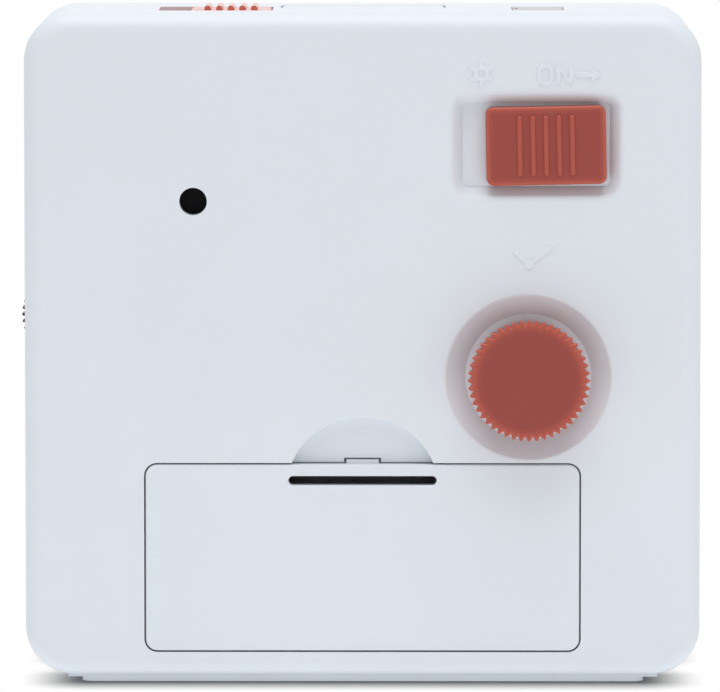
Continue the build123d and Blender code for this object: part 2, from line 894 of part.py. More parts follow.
def rear_plate():
    """Plate behind the gears with its pillars, pads of the stator and one stud."""
    size = (plate_right - plate_left, plate_top - plate_bottom)
    middle = ((plate_left + plate_right) / 2, (plate_bottom + plate_top) / 2)
    plate = panel(middle, size, plate_corner, rear_plate_front, rear_plate_back)
    extras = [disc(place, pillar_radius, plate_back, rear_plate_back) for place in boss_places]
    extras.append(disc(intermediate_at, stud_radius, seconds_layer[0], rear_plate_back))
    for side in (-1, 1):
        pad = (rotor_at[0] + stator_pad_offset[0], rotor_at[1] + side * stator_pad_offset[1])
        extras.append(disc(pad, stator_pad_radius, stator_back(), rear_plate_back))
    bores = [
        (centre, pivot_radius + turn_gap),
        (knob_at, setting_shaft_radius + turn_gap),
        (third_at, pivot_radius + turn_gap),
        (rotor_at, pivot_radius + turn_gap),
    ]
    bores += [(place, pillar_bore) for place in boss_places]
    near, far = plate_back - overrun, rear_plate_back + overrun
    return plate.fuse(*extras).cut(*[disc(place, radius, near, far) for place, radius in bores])


def screws(places, head_back, tip):
    """Identical screws whose heads bear on one plane, as separate solids."""
    group = []
    for place in places:
        head = disc(place, screw_head_radius, head_back - screw_head_height, head_back)
        group.append(head + disc(place, screw_radius, head_back - screw_head_height / 2, tip))
    return Compound(children=group)


def movement_screws():
    """Screws that hold the movement on the bosses of the case."""
    return screws(boss_places, plate_front, plate_front + screw_length)


def board_screws():
    """Screws that hold the circuit board on its posts."""
    return screws(board_posts, board_front, inner_back - overrun)


def cannon_pinion():
    """Tube of the minute hand with its pinion and the gear that the knob turns."""
    body = disc(centre, cannon_radius, minute_hand_front, centre_layer[1])
    body += gear(centre, motion_module, cannon_teeth, cannon_phase, minute_layer)
    body += gear(centre, setting_module, setting_teeth, cannon_setting_phase, setting_layer)
    return body - disc(centre, cannon_bore, minute_hand_front - overrun, centre_layer[1] + overrun)


def centre_wheel():
    """Wheel of the running train that grips the cannon pinion by friction."""
    wheel = gear(centre, running_module, centre_teeth, centre_phase, centre_layer)
    near, far = centre_layer[0] - overrun, centre_layer[1] + overrun
    return wheel - disc(centre, cannon_radius + turn_gap, near, far)


def hour_wheel():
    """Hour wheel with its tube."""
    body = gear(centre, hour_module, hour_teeth, hour_phase, hour_layer)
    body += disc(centre, hour_radius, hour_hand_front, hour_layer[1])
    return body - disc(centre, hour_bore, hour_hand_front - overrun, hour_layer[1] + overrun)


def alarm_wheel():
    """Alarm wheel with the tube of the alarm hand."""
    body = gear(centre, thumb_module, alarm_teeth, alarm_phase, alarm_layer)
    body += disc(centre, alarm_radius, alarm_hand_front, alarm_back)
    return body - disc(centre, alarm_bore, alarm_hand_front - overrun, alarm_back + overrun)


def alarm_idler():
    """Idler between the thumbwheel and the alarm wheel."""
    wheel = gear(alarm_idler_at, thumb_module, alarm_idler_teeth, alarm_idler_phase, alarm_layer)
    bore = alarm_stud_radius + turn_gap
    return wheel - disc(alarm_idler_at, bore, alarm_front - overrun, alarm_back + overrun)


def alarm_set_wheel():
    """Thumbwheel whose teeth are both its grip and its gear."""
    planes = (alarm_front, alarm_front + thumb_thickness)
    wheel = gear(thumb_at, thumb_module, thumb_teeth, thumb_phase, planes)
    return wheel - disc(thumb_at, thumb_stud_radius + turn_gap, planes[0] - overrun, planes[1] + overrun)


def minute_wheel():
    """Minute wheel with its pinion."""
    body = gear(minute_wheel_at, motion_module, minute_teeth, minute_phase, minute_layer)
    pinion_planes = (hour_layer[0], minute_layer[0])
    body += gear(minute_wheel_at, hour_module, minute_pinion_teeth, minute_pinion_phase, pinion_planes)
    return body - disc(minute_wheel_at, stud_bore, hour_layer[0] - overrun, minute_layer[1] + overrun)


def setting_idler():
    """Idler between the knob's gear and the cannon pinion."""
    body = gear(setting_idler_at, setting_module, setting_idler_teeth, setting_idler_phase, setting_layer)
    body += disc(setting_idler_at, stud_bore + hub_wall, hour_layer[0], setting_layer[0])
    return body - disc(setting_idler_at, stud_bore, hour_layer[0] - overrun, setting_layer[1] + overrun)


def setting_shaft():
    """Shaft of the knob with its gear."""
    knob_floor = back - dish_depth + knob_floor_gap
    body = disc(knob_at, setting_shaft_radius, hour_layer[0], knob_floor + knob_bore_depth)
    body += disc(knob_at, setting_pivot_radius, plate_front, hour_layer[1])
    return body + gear(knob_at, setting_module, setting_teeth, setting_shaft_phase, setting_layer)


def seconds_arbor():
    """Arbor of the second hand with its wheel and pinion."""
    body = disc(centre, seconds_radius, second_hand_front, rear_plate_back)
    body += gear(centre, third_module, pinion_teeth, seconds_pinion_phase, third_layer)
    return body + gear(centre, running_module, seconds_teeth, seconds_phase, seconds_layer)


def third_wheel():
    """Third wheel with its pinion and an arbor between the plates."""
    body = disc(third_at, arbor_radius, hour_layer[0], motor_layer[1])
    body += disc(third_at, pivot_radius, plate_front, rear_plate_back)
    body += gear(third_at, third_module, third_teeth, third_phase, third_layer)
    return body + gear(third_at, running_module, pinion_teeth, third_pinion_phase, centre_layer)


def intermediate_wheel():
    """Wheel and pinion between the motor and the seconds wheel."""
    body = gear(intermediate_at, running_module, intermediate_teeth, intermediate_phase, motor_layer)
    pinion_planes = (seconds_layer[0], motor_layer[0])
    body += gear(intermediate_at, running_module, pinion_teeth, intermediate_pinion_phase, pinion_planes)
    return body - disc(intermediate_at, stud_bore, seconds_layer[0] - overrun, motor_layer[1] + overrun)


def motor_rotor():
    """Magnet, pinion and arbor of the stepping motor."""
    body = disc(rotor_at, arbor_radius, hour_layer[0], motor_layer[1])
    body += disc(rotor_at, pivot_radius, plate_front, rear_plate_back)
    body += disc(rotor_at, magnet_radius, third_layer[0], seconds_layer[1])
    return body + gear(rotor_at, running_module, pinion_teeth, rotor_phase, motor_layer)


def stator_back():
    """Back plane of the stator, level with the middle of the magnet."""
    return (third_layer[0] + seconds_layer[1] + stator_thickness) / 2


def motor_stator():
    """Flat iron yoke round the magnet with two legs and the core of the coil."""
    body_at = (rotor_at[0] - stator_shift, rotor_at[1])
    coil_z = rotor_at[1] + coil_rise
    leg_x = coil_length / 2 + stator_leg / 2 + fit
    yoke = Pos(*body_at) * RectangleRounded(stator_width, stator_height, stator_corner)
    for side in (-1, 1):
        leg_at = (body_at[0] + side * leg_x, (rotor_at[1] + coil_z) / 2 + coil_core / 4)
        yoke += Pos(*leg_at) * Rectangle(stator_leg, coil_rise + coil_core / 2)
    arm_at = (body_at[0], rotor_at[1] + stator_leg / 2)
    yoke += Pos(*arm_at) * Rectangle(2 * leg_x + stator_leg, stator_leg)
    yoke += Pos(body_at[0], coil_z) * Rectangle(2 * leg_x, coil_core)
    yoke -= Pos(*rotor_at) * Circle(magnet_radius + magnet_gap)
    return prism(yoke, stator_back() - stator_thickness, stator_back())


def motor_coil():
    """Coil on the core of the stator."""
    middle = (stator_back() - stator_thickness / 2, rotor_at[1] + coil_rise)
    ring = Pos(*middle) * (Circle(coil_radius) - Circle(coil_bore_radius))
    coil_x = rotor_at[0] - stator_shift
    return across(ring, coil_x - coil_length / 2, coil_x + coil_length / 2)


def circuit_board():
    """Board with screw holes and a hole round a boss of the case."""
    plate = block((board_left, board_front, board_bottom), (board_right, board_back, board_top))
    holes = [(place, screw_radius + turn_gap) for place in board_posts]
    holes += [(place, boss_radius + 2 * slide_gap) for place in boss_places[2:]]
    cuts = [disc(place, radius, board_front - overrun, board_back + overrun) for place, radius in holes]
    return plate.cut(*cuts)


def on_board(shares):
    """Place on the board given as shares of its width and height."""
    return (
        board_left + shares[0] * (board_right - board_left),
        board_bottom + shares[1] * board_height,
    )


def clock_chip():
    """Chip on the back of the board."""
    x, z = on_board(chip_place_shares)
    width, depth, height = chip_size
    return block(
        (x - width / 2, board_back, z - height / 2), (x + width / 2, board_back + depth, z + height / 2)
    )


def quartz_crystal():
    """Can of the quartz crystal, lying on the board."""
    x, z = on_board(crystal_place_shares)
    can = Pos(board_back + crystal_radius + turn_gap, z) * Circle(crystal_radius)
    return across(can, x - crystal_length / 2, x + crystal_length / 2)


def buzzer():
    """Round buzzer in its ring behind the sound hole."""
    can = disc(buzzer_at, buzzer_radius, inner_back - buzzer_depth - fit, inner_back - fit)
    mouth = disc(buzzer_at, buzzer_hole_radius, inner_back - buzzer_depth / 2, inner_back)
    return can - mouth


def set_knob():
    """Toothed knob with a bore for its shaft."""
    near = back - dish_depth + knob_floor_gap
    far = back + knob_proud
    points = []
    for tooth in range(knob_teeth):
        turn = 2 * math.pi * tooth / knob_teeth
        half = math.pi / knob_teeth
        for radius, angle in ((knob_radius, turn), (knob_radius - knob_tooth_depth, turn + half)):
            points.append((radius * math.cos(angle), radius * math.sin(angle)))
    body = prism(Pos(*knob_at) * Polygon(*points, align=None), near, far)
    taper = funnel(knob_at, knob_radius - knob_taper, knob_radius, near, far)
    body &= chamfer(taper.faces().sort_by(Axis.Y)[-1].edges(), knob_edge)
    bore = setting_shaft_radius + turn_gap / 2
    return body - disc(knob_at, bore, near - overrun, near + knob_bore_depth + turn_gap)


def light_switch():
    """Ribbed slide button with a neck, a foot behind the wall and a nub."""
    body = panel(button_at, button_size, button_corner, button_front, button_back)
    body = fillet(body.faces().sort_by(Axis.Y)[-1].edges(), button_edge)
    for number in range(button_ribs):
        shift = (number - (button_ribs - 1) / 2) * rib_pitch
        rib = Pos(button_at[0] + shift, button_at[1]) * Rot(0, 0, 90) * SlotOverall(rib_length, rib_width)
        body += prism(rib, button_back - rib_height, button_back + rib_height)
    neck = prism(Pos(*button_at) * Rectangle(*button_neck), foot_front, button_back - rib_height)
    foot = prism(Pos(*button_at) * Rectangle(*button_foot), foot_front, foot_back)
    nub = prism(Pos(*button_at) * Rectangle(nub_size, nub_size), nub_front, foot_back)
    return body + neck + foot + nub


def light_switch_body():
    """Slide switch on the board with a channel for the button's nub."""
    channel = (nub_size + button_travel + 2 * slide_gap, nub_size + 2 * fit)
    size = [a + 2 * b for a, b in zip(channel, switch_body_margin)]
    middle = (button_at[0] + button_travel / 2, button_at[1])
    body = prism(Pos(*middle) * Rectangle(*size), board_back, switch_body_back)
    return body - prism(Pos(*middle) * Rectangle(*channel), nub_front - fit, switch_body_back + overrun)


def alarm_slider():
    """Ribbed slide button in the top wall, with a flange below it and a nub."""
    top = Pos(*slider_at) * RectangleRounded(*slider_size, slider_corner)
    body = lift(top, slider_flange_bottom, case_top)
    flange_left = slider_at[0] - slider_size[0] / 2 - slider_flange_side
    flange_right = slider_slot_x + slider_slot[0] + slider_flange_margin
    depth = slider_slot[1] / 2 + slider_flange_margin
    body += block(
        (flange_left, slider_at[1] - depth, slider_flange_bottom),
        (flange_right, slider_at[1] + depth, slider_flange_bottom + slider_flange),
    )
    for number in range(slider_ribs):
        shift = (number - (slider_ribs - 1) / 2) * slider_rib_pitch
        rib = Pos(slider_at[0] + shift, slider_at[1]) * Rot(0, 0, 90)
        rib *= SlotOverall(slider_rib_length, slider_rib_width)
        body += lift(rib, inner_top, case_top + slider_rib_height)
    nub = Pos(*slider_at) * Rectangle(slider_nub, slider_nub)
    return body + lift(nub, slider_flange_bottom - slider_nub_depth, slider_flange_bottom + slider_flange)


def alarm_switch_body():
    """Slide switch on the shelf with a channel for the slider's nub."""
    channel = (slider_nub + slider_travel + 2 * slide_gap, slider_nub + 2 * fit)
    middle = (slider_at[0] + slider_travel / 2, slider_at[1])
    size = [length + 2 * slider_body_wall for length in channel]
    top = slider_flange_bottom - slider_body_gap
    body = lift(Pos(*middle) * Rectangle(*size), shelf_top, top)
    floor = slider_flange_bottom - slider_nub_depth - fit
    return body - lift(Pos(*middle) * Rectangle(*channel), floor, top + overrun)


def indicator_window():
    """Pane in the top wall with a lip below the wall."""
    lip_bottom = inner_top - window_lip_thickness
    pane = lift(Pos(*window_at) * RectangleRounded(*window_size, window_corner), lip_bottom, case_top)
    lip = [length + 2 * window_lip for length in window_size]
    return pane + lift(Pos(*window_at) * Rectangle(*lip), lip_bottom, inner_top - turn_gap)


def lamp(height):
    """Small round lamp standing on the plane Z = 0, with a collar and a dome."""
    collar = lift(Circle(lamp_collar_radius), 0, lamp_collar)
    straight = lift(Circle(lamp_radius), 0, height - lamp_radius)
    dome = Pos(0, 0, height - lamp_radius) * Sphere(lamp_radius)
    return collar + straight + dome


def indicator_led():
    """Lamp on the shelf below the window."""
    shift = window_size[0] * lamp_side_share
    return Pos(window_at[0] + shift, window_at[1], shelf_top) * lamp(lamp_height)


def dial_led():
    """Lamp through the dial, its collar behind it."""
    x, z = dial_lamp_place()
    return Pos(x, dial_back + lamp_collar, z) * Rot(90, 0, 0) * lamp(lamp_height)


def snooze_bar():
    """Push bar in the top wall with a flange below it and a leg."""
    outline = Pos(*snooze_at) * RectangleRounded(*snooze_size, snooze_corner)
    bar = lift(outline, snooze_flange_bottom, case_top)
    bar = fillet(bar.faces().sort_by(Axis.Z)[-1].edges(), snooze_edge)
    flange = [length + 2 * snooze_flange_margin for length in snooze_size]
    flange_top = snooze_flange_bottom + snooze_flange
    bar += lift(Pos(*snooze_at) * Rectangle(*flange), snooze_flange_bottom, flange_top)
    return bar + lift(Pos(*snooze_at) * Rectangle(snooze_leg, snooze_leg), plunger_top, flange_top)


def snooze_switch():
    """Push switch on the shelf with the bore of its plunger."""
    top = shelf_top + snooze_body_height
    body = lift(Pos(*snooze_at) * Rectangle(snooze_body, snooze_body), shelf_top, top)
    bore = Pos(*snooze_at) * Circle(plunger_radius + turn_gap)
    return body - lift(bore, snooze_bore_bottom, top + overrun)


def snooze_plunger():
    """Plunger of the push switch under the leg of the bar."""
    return lift(Pos(*snooze_at) * Circle(plunger_radius), plunger_bottom, plunger_top)


def battery_door():
    """Door with its latch slot, latch tab and two hooks."""
    size = [length - 2 * lid_gap for length in lid_opening]
    body = panel(lid_at, size, lid_corner - lid_gap, lid_front, back)
    body = fillet(body.faces().sort_by(Axis.Y)[-1].edges(), lid_edge)
    top = lid_top - lid_gap
    tab = block(
        (-latch_width / 2, lid_front, top - latch_height),
        (latch_width / 2, back - latch_drop, top + latch_height),
    )
    body += tab
    neck_bottom = lid_bottom + lid_gap
    hook_bottom = lid_bottom - hook_drop + slide_gap
    hook_back = inner_back - slide_gap
    hook_front = hook_back - hook_thickness
    for side in (-1, 1):
        left = side * hook_spread - hook_width / 2
        right = left + hook_width
        body += block((left, hook_front, neck_bottom), (right, lid_front + fit, neck_bottom + hook_neck))
        body += block((left, hook_front, hook_bottom), (right, hook_back, neck_bottom + fit))
    slot_at = (0, lid_top - lid_slot_drop)
    slot = prism(Pos(*slot_at) * SlotOverall(*lid_slot), lid_front - overrun, back + overrun)
    return body - slot


def battery_cell():
    """AA cell lying along X with its positive end towards the thumbwheel."""
    shoulder = cell_tip_x - cell_nub_length
    end = cell_tip_x - cell_length
    axis = Pos(cell_y, lid_middle)
    can = across(axis * Circle(cell_diameter / 2), end, shoulder)
    rims = can.edges().filter_by(GeomType.CIRCLE)
    nub = across(axis * Circle(cell_nub_radius), shoulder - overrun, cell_tip_x)
    return fillet(rims, cell_edge) + nub


def positive_contact():
    """Flat spring plate at the positive end."""
    return block(
        (contact_face - contact_thickness, cell_y - contact_height / 2, lid_middle - contact_width / 2),
        (contact_face, cell_y + contact_height / 2, lid_middle + contact_width / 2),
    )


def negative_contact():
    """Plate with a folded leaf that presses on the flat end of the cell."""
    outer = -contact_face
    inner = outer + contact_thickness
    touch = cell_tip_x - cell_length - fit
    high = cell_y + contact_height / 2
    low = cell_y - contact_height / 2
    tip = cell_y + leaf_tip_share * contact_height
    end = cell_y + leaf_end_share * contact_height
    end_x = inner + leaf_end_reach_share * (touch - inner)
    wall = contact_thickness * math.sqrt(2)
    outline = Polygon(
        (outer, low), (outer, high), (inner, high), (touch, tip), (end_x, end),
        (end_x - wall, end), (touch - wall, tip), (inner, high - 2 * wall), (inner, low),
        align=None,
    )
    return lift(outline, lid_middle - contact_width / 2, lid_middle + contact_width / 2)


def base_pad():
    """Foot strip under the plinth."""
    near = parting + pad_front_inset
    far = back - pad_back_inset
    outline = RectangleRounded(case_width - 2 * pad_inset, far - near, pad_corner)
    return lift(Pos(0, (near + far) / 2) * outline, 0, pad_height)


def nodes():
    """Every piece by its name."""
    hand_fits = {
        "hour_hand": (hour_length, hour_width, hour_radius, hour_angle, hour_hand_front),
        "minute_hand": (minute_length, minute_width, cannon_radius, minute_angle, minute_hand_front),
        "second_hand": (second_length, second_width, seconds_radius, second_angle, second_hand_front),
        "alarm_hand": (alarm_length, alarm_width, alarm_radius, alarm_angle, alarm_hand_front),
    }
    makers = [
        rear_shell, front_bezel, lens, dial_spacer, dial, front_plate, rear_plate, movement_screws,
        cannon_pinion, centre_wheel, hour_wheel, alarm_wheel, alarm_idler, alarm_set_wheel,
        minute_wheel, setting_idler, setting_shaft, seconds_arbor, third_wheel,
        intermediate_wheel, motor_rotor, motor_stator, motor_coil, circuit_board, clock_chip,
        quartz_crystal, board_screws, buzzer, set_knob, light_switch, light_switch_body,
        alarm_slider, alarm_switch_body, indicator_window, indicator_led, dial_led,
        snooze_bar, snooze_switch, snooze_plunger, battery_door, battery_cell,
        positive_contact, negative_contact, base_pad,
    ]
    pieces = {maker.__name__: maker() for maker in makers}
    for name, sizes in hand_fits.items():
        pieces[name] = hand(*sizes)
    return pieces


os.makedirs("parts", exist_ok=True)
for name, piece in nodes().items():
    export_step(piece, f"parts/{name}.step")
axes = {
    "centre": centre, "set knob": knob_at, "setting idler": setting_idler_at,
    "minute wheel": minute_wheel_at, "third wheel": third_at,
    "intermediate wheel": intermediate_at, "rotor": rotor_at,
    "thumbwheel": thumb_at, "alarm idler": alarm_idler_at, "door pivot (Y, Z)": lid_pivot,
}
for name, place in axes.items():
    print(f"{name}: {place[0]:.5f}, {place[1]:.5f}")
print("idler teeth:", setting_idler_teeth, alarm_idler_teeth)
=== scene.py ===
"""Looks of a square bedside alarm clock, seen from behind: white case, red controls, battery door.

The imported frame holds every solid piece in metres, with +Z up, the dial towards -Y and the back
towards +Y. This script dresses those pieces, adds the raised marks, the dial print and other fine
surfaces, and lights them on a plain white table. Sizes of surfaces are in millimetres, those of
finishes and of the studio in metres.
"""

import json
import logging
import math
from dataclasses import dataclass
from enum import Enum
from functools import cache

import bmesh
import bpy
import numpy as np
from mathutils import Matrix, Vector


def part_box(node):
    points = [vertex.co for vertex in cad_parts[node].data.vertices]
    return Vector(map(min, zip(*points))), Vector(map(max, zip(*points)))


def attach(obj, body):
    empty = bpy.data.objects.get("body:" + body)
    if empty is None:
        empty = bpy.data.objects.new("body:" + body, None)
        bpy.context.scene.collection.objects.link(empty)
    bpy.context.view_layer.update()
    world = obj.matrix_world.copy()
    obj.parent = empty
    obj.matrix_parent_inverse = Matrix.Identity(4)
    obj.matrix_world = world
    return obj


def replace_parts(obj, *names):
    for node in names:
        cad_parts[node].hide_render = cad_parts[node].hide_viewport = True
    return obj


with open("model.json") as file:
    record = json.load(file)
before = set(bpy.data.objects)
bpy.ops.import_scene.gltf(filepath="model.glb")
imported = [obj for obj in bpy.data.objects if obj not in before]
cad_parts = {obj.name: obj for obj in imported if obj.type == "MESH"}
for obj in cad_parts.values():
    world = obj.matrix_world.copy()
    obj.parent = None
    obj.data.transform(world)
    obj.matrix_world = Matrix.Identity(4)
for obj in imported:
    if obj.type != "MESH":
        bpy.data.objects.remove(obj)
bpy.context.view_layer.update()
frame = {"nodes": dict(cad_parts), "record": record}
MM = 0.001
QUARTER_TURN = math.pi / 2
LOG = logging.getLogger("alarm_clock")
# Point attribute that holds each point's share of the painted edge highlight
PAINTED_EDGE_HIGHLIGHT = "painted_edge_highlight"

# Curve of screen colours: its levels, the end and slope of its straight part, its offset and power
SCREEN_LEVELS = 255.0
CURVE_KNEE = 0.04045
CURVE_SLOPE = 12.92
CURVE_OFFSET = 0.055
CURVE_POWER = 2.4

# Sockets of a Mix node that is set to colours, and the middle of a noise that runs from 0 to 1
MIX_FIRST, MIX_SECOND, MIX_RESULT = 6, 7, 2
NOISE_MIDDLE = 0.5

# Cosine of half a bend below which a raised stroke is widened no further
LEAST_BEND_COSINE = 0.6

Colour = tuple[float, float, float, float]
Place = tuple[float, float, float]
Inputs = dict[str | int, object]
Faces = list[np.ndarray]
Skin = tuple[np.ndarray, Faces]


def screen_colour(red: int, green: int, blue: int) -> Colour:
    """Linear colour of an 8-bit screen colour.

    Args:
        red: Red from 0 to 255.
        green: Green from 0 to 255.
        blue: Blue from 0 to 255.

    Returns:
        Linear red, green, blue and full opacity.
    """
    share = np.array([red, green, blue]) / SCREEN_LEVELS
    curved = ((share + CURVE_OFFSET) / (1.0 + CURVE_OFFSET)) ** CURVE_POWER
    linear = np.where(share <= CURVE_KNEE, share / CURVE_SLOPE, curved)
    return (*linear.tolist(), 1.0)


def node_box(node: str) -> tuple[np.ndarray, np.ndarray]:
    """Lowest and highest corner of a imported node, in millimetres."""
    low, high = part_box(node)
    return np.array(low) / MM, np.array(high) / MM


def new_object(name: str, data: bpy.types.ID) -> bpy.types.Object:
    """New object of a mesh, text, light or camera, linked to the scene."""
    made = bpy.data.objects.new(name, data)
    bpy.context.scene.collection.objects.link(made)
    return made


# Colours and other choices
class Shade(Enum):
    """Colours of the pieces before lamps light them; the highlight orange, the slider's red and the wheel's
    red also hold painted light or shade.
    """

    CASE_WHITE = screen_colour(222, 228, 235)
    CONTROL_RED = screen_colour(146, 58, 48)
    # Painted highlight: brighter orange that the red mouldings blend to at their edges and ribs
    EDGE_ORANGE = screen_colour(196, 90, 68)
    # Painted light: the slider's red, the same red as the other controls, lightened for the light and
    # glancing reflection on it
    SLIDER_RED = screen_colour(214, 110, 88)
    # Painted shade: the thumbwheel's red, darkened for the shade on its teeth
    WHEEL_RED = screen_colour(86, 34, 32)
    FOOT_GREY = screen_colour(242, 248, 254)
    DIAL_WHITE = screen_colour(248, 248, 245)
    INK_BLACK = screen_colour(24, 24, 26)
    LUME_GREEN = screen_colour(206, 220, 186)
    HAND_RED = screen_colour(176, 52, 40)
    NATURAL_ACETAL = screen_colour(226, 222, 208)
    PLATE_GREY = screen_colour(112, 114, 120)
    MAGNET_GREY = screen_colour(70, 70, 74)
    NICKEL = screen_colour(196, 196, 194)
    COPPER = screen_colour(190, 112, 66)
    BOARD_GREEN = screen_colour(36, 98, 58)
    SOOT = screen_colour(14, 14, 15)
    CELL_WRAP = screen_colour(200, 204, 210)
    CELL_BAND = screen_colour(96, 100, 108)
    LAMP_RED = screen_colour(150, 42, 40)
    CLEAR = screen_colour(248, 250, 252)
    SMOKE = screen_colour(196, 196, 202)


class Way(Enum):
    """Direction in which a raised surface stands out of its face."""

    BACK = 1.0
    FRONT = -1.0


class Socket(Enum):
    """Kinds of socket on a shared shader group."""

    COLOUR = "NodeSocketColor"
    NUMBER = "NodeSocketFloat"


# Shared shader groups
class NodeTree:
    """Thin helper that adds linked nodes to a shader tree."""

    def __init__(self, tree: bpy.types.NodeTree) -> None:
        """Keep the tree to which nodes are added."""
        self.tree = tree

    def add(self, kind: str, inputs: Inputs | None = None, **settings: object) -> bpy.types.Node:
        """Add a node, set its properties and fill or link its inputs.

        Args:
            kind: Class name of the node.
            inputs: Values or output sockets by input name or index.
            **settings: Properties of the node itself.

        Returns:
            The new node.
        """
        node = self.tree.nodes.new(kind)
        for name, value in settings.items():
            setattr(node, name, value)
        self.fill(node, inputs or {})
        return node

    def fill(self, node: bpy.types.Node, inputs: Inputs) -> None:
        """Set or link inputs of a node.

        Args:
            node: Node of this tree.
            inputs: Values or output sockets by input name or index.
        """
        for key, value in inputs.items():
            if isinstance(value, bpy.types.NodeSocket):
                self.tree.links.new(value, node.inputs[key])
            else:
                node.inputs[key].default_value = value

    def place(self) -> bpy.types.NodeSocket:
        """Place on the surface, in the piece's own coordinates."""
        return self.add("ShaderNodeTexCoord").outputs["Object"]

    def noise(self, place: bpy.types.NodeSocket, scale: object, detail: float) -> bpy.types.NodeSocket:
        """Soft noise from 0 to 1 at a place."""
        inputs = {"Vector": place, "Scale": scale, "Detail": detail}
        return self.add("ShaderNodeTexNoise", inputs).outputs["Fac"]

    def work(self, operation: str, *terms: object) -> bpy.types.NodeSocket:
        """Result of one operation on up to three numbers or sockets."""
        return self.add("ShaderNodeMath", dict(enumerate(terms)), operation=operation).outputs[0]

    def scale(self, colour: object, level: object) -> bpy.types.NodeSocket:
        """Colour times a level."""
        return self.add("ShaderNodeVectorMath", {0: colour, "Scale": level}, operation="SCALE").outputs[0]

    def mix(self, share: object, first: object, second: object) -> bpy.types.NodeSocket:
        """Colour between two, by a share from 0 to 1."""
        inputs = {"Factor": share, MIX_FIRST: first, MIX_SECOND: second}
        return self.add("ShaderNodeMix", inputs, data_type="RGBA").outputs[MIX_RESULT]

    def bump(self, height: object, strength: float, depth: float) -> bpy.types.NodeSocket:
        """Normal of a surface whose heights run from 0 to a depth."""
        inputs = {"Height": height, "Strength": strength, "Distance": depth}
        return self.add("ShaderNodeBump", inputs).outputs["Normal"]

    def group(self, group: "SurfaceGroup", inputs: Inputs) -> bpy.types.NodeOutputs:
        """Outputs of a shared group that gets these inputs."""
        return self.add("ShaderNodeGroup", inputs, node_tree=group.tree()).outputs


class SurfaceGroup:
    """Base of the shared shader groups: a named tree with sockets, built once."""

    name = "surface_group"
    takes: tuple[tuple[str, Socket], ...] = ()
    gives: tuple[tuple[str, Socket], ...] = ()

    def tree(self) -> bpy.types.NodeTree:
        """Build the group's tree on the first call, and find it again on later ones.

        Returns:
            The tree, with its sockets and nodes.
        """
        found = bpy.data.node_groups.get(self.name)
        if found:
            return found
        tree = bpy.data.node_groups.new(self.name, "ShaderNodeTree")
        for label, kind in self.takes:
            tree.interface.new_socket(label, in_out="INPUT", socket_type=kind.value)
        for label, kind in self.gives:
            tree.interface.new_socket(label, in_out="OUTPUT", socket_type=kind.value)
        maker = NodeTree(tree)
        results = self.wire(maker, maker.add("NodeGroupInput").outputs)
        maker.add("NodeGroupOutput", results)
        return tree

    def wire(self, maker: NodeTree, given: bpy.types.NodeOutputs) -> Inputs:
        """Wire the inside of the group; each group has its own."""
        raise NotImplementedError


class GrainGroup(SurfaceGroup):
    """Fine moulded grain with faint clouds of tone and gloss."""

    name = "moulded_grain"
    takes = (("Colour", Socket.COLOUR), ("Mottle", Socket.NUMBER), ("Scale", Socket.NUMBER),
             ("Roughness", Socket.NUMBER), ("Spread", Socket.NUMBER))
    gives = (("Colour", Socket.COLOUR), ("Roughness", Socket.NUMBER), ("Height", Socket.NUMBER))
    cloud_scale = 60.0
    detail = 3.0

    def wire(self, maker: NodeTree, given: bpy.types.NodeOutputs) -> Inputs:
        """Wire fast noise to the height, and slow noise to the tone and the gloss.

        Args:
            maker: Helper of the group's tree.
            given: Sockets of the group's inputs.

        Returns:
            Sockets by name of the group's outputs.
        """
        place = maker.place()
        grain = maker.noise(place, given["Scale"], self.detail)
        cloud = maker.noise(place, self.cloud_scale, self.detail)
        swing = maker.work("SUBTRACT", cloud, NOISE_MIDDLE)
        tone = maker.work("MULTIPLY_ADD", swing, given["Mottle"], 1.0)
        gloss = maker.work("MULTIPLY_ADD", swing, given["Spread"], given["Roughness"])
        return {"Colour": maker.scale(given["Colour"], tone), "Roughness": gloss, "Height": grain}


class StreakGroup(SurfaceGroup):
    """Long streaks of a drawn or rolled metal."""

    name = "drawn_streaks"
    takes = (("Colour", Socket.COLOUR), ("Contrast", Socket.NUMBER), ("Roughness", Socket.NUMBER))
    gives = (("Colour", Socket.COLOUR), ("Roughness", Socket.NUMBER), ("Height", Socket.NUMBER))
    stretch = (120.0, 2400.0, 2400.0)
    detail = 4.0

    def wire(self, maker: NodeTree, given: bpy.types.NodeOutputs) -> Inputs:
        """Wire noise that is drawn out along X to the tone, the gloss and the height.

        Args:
            maker: Helper of the group's tree.
            given: Sockets of the group's inputs.

        Returns:
            Sockets by name of the group's outputs.
        """
        drawn = maker.add("ShaderNodeVectorMath", {0: maker.place(), 1: self.stretch},
                          operation="MULTIPLY")
        streak = maker.noise(drawn.outputs[0], 1.0, self.detail)
        swing = maker.work("SUBTRACT", streak, NOISE_MIDDLE)
        tone = maker.work("MULTIPLY_ADD", swing, given["Contrast"], 1.0)
        gloss = maker.work("MULTIPLY_ADD", swing, given["Contrast"], given["Roughness"])
        return {"Colour": maker.scale(given["Colour"], tone), "Roughness": gloss, "Height": streak}


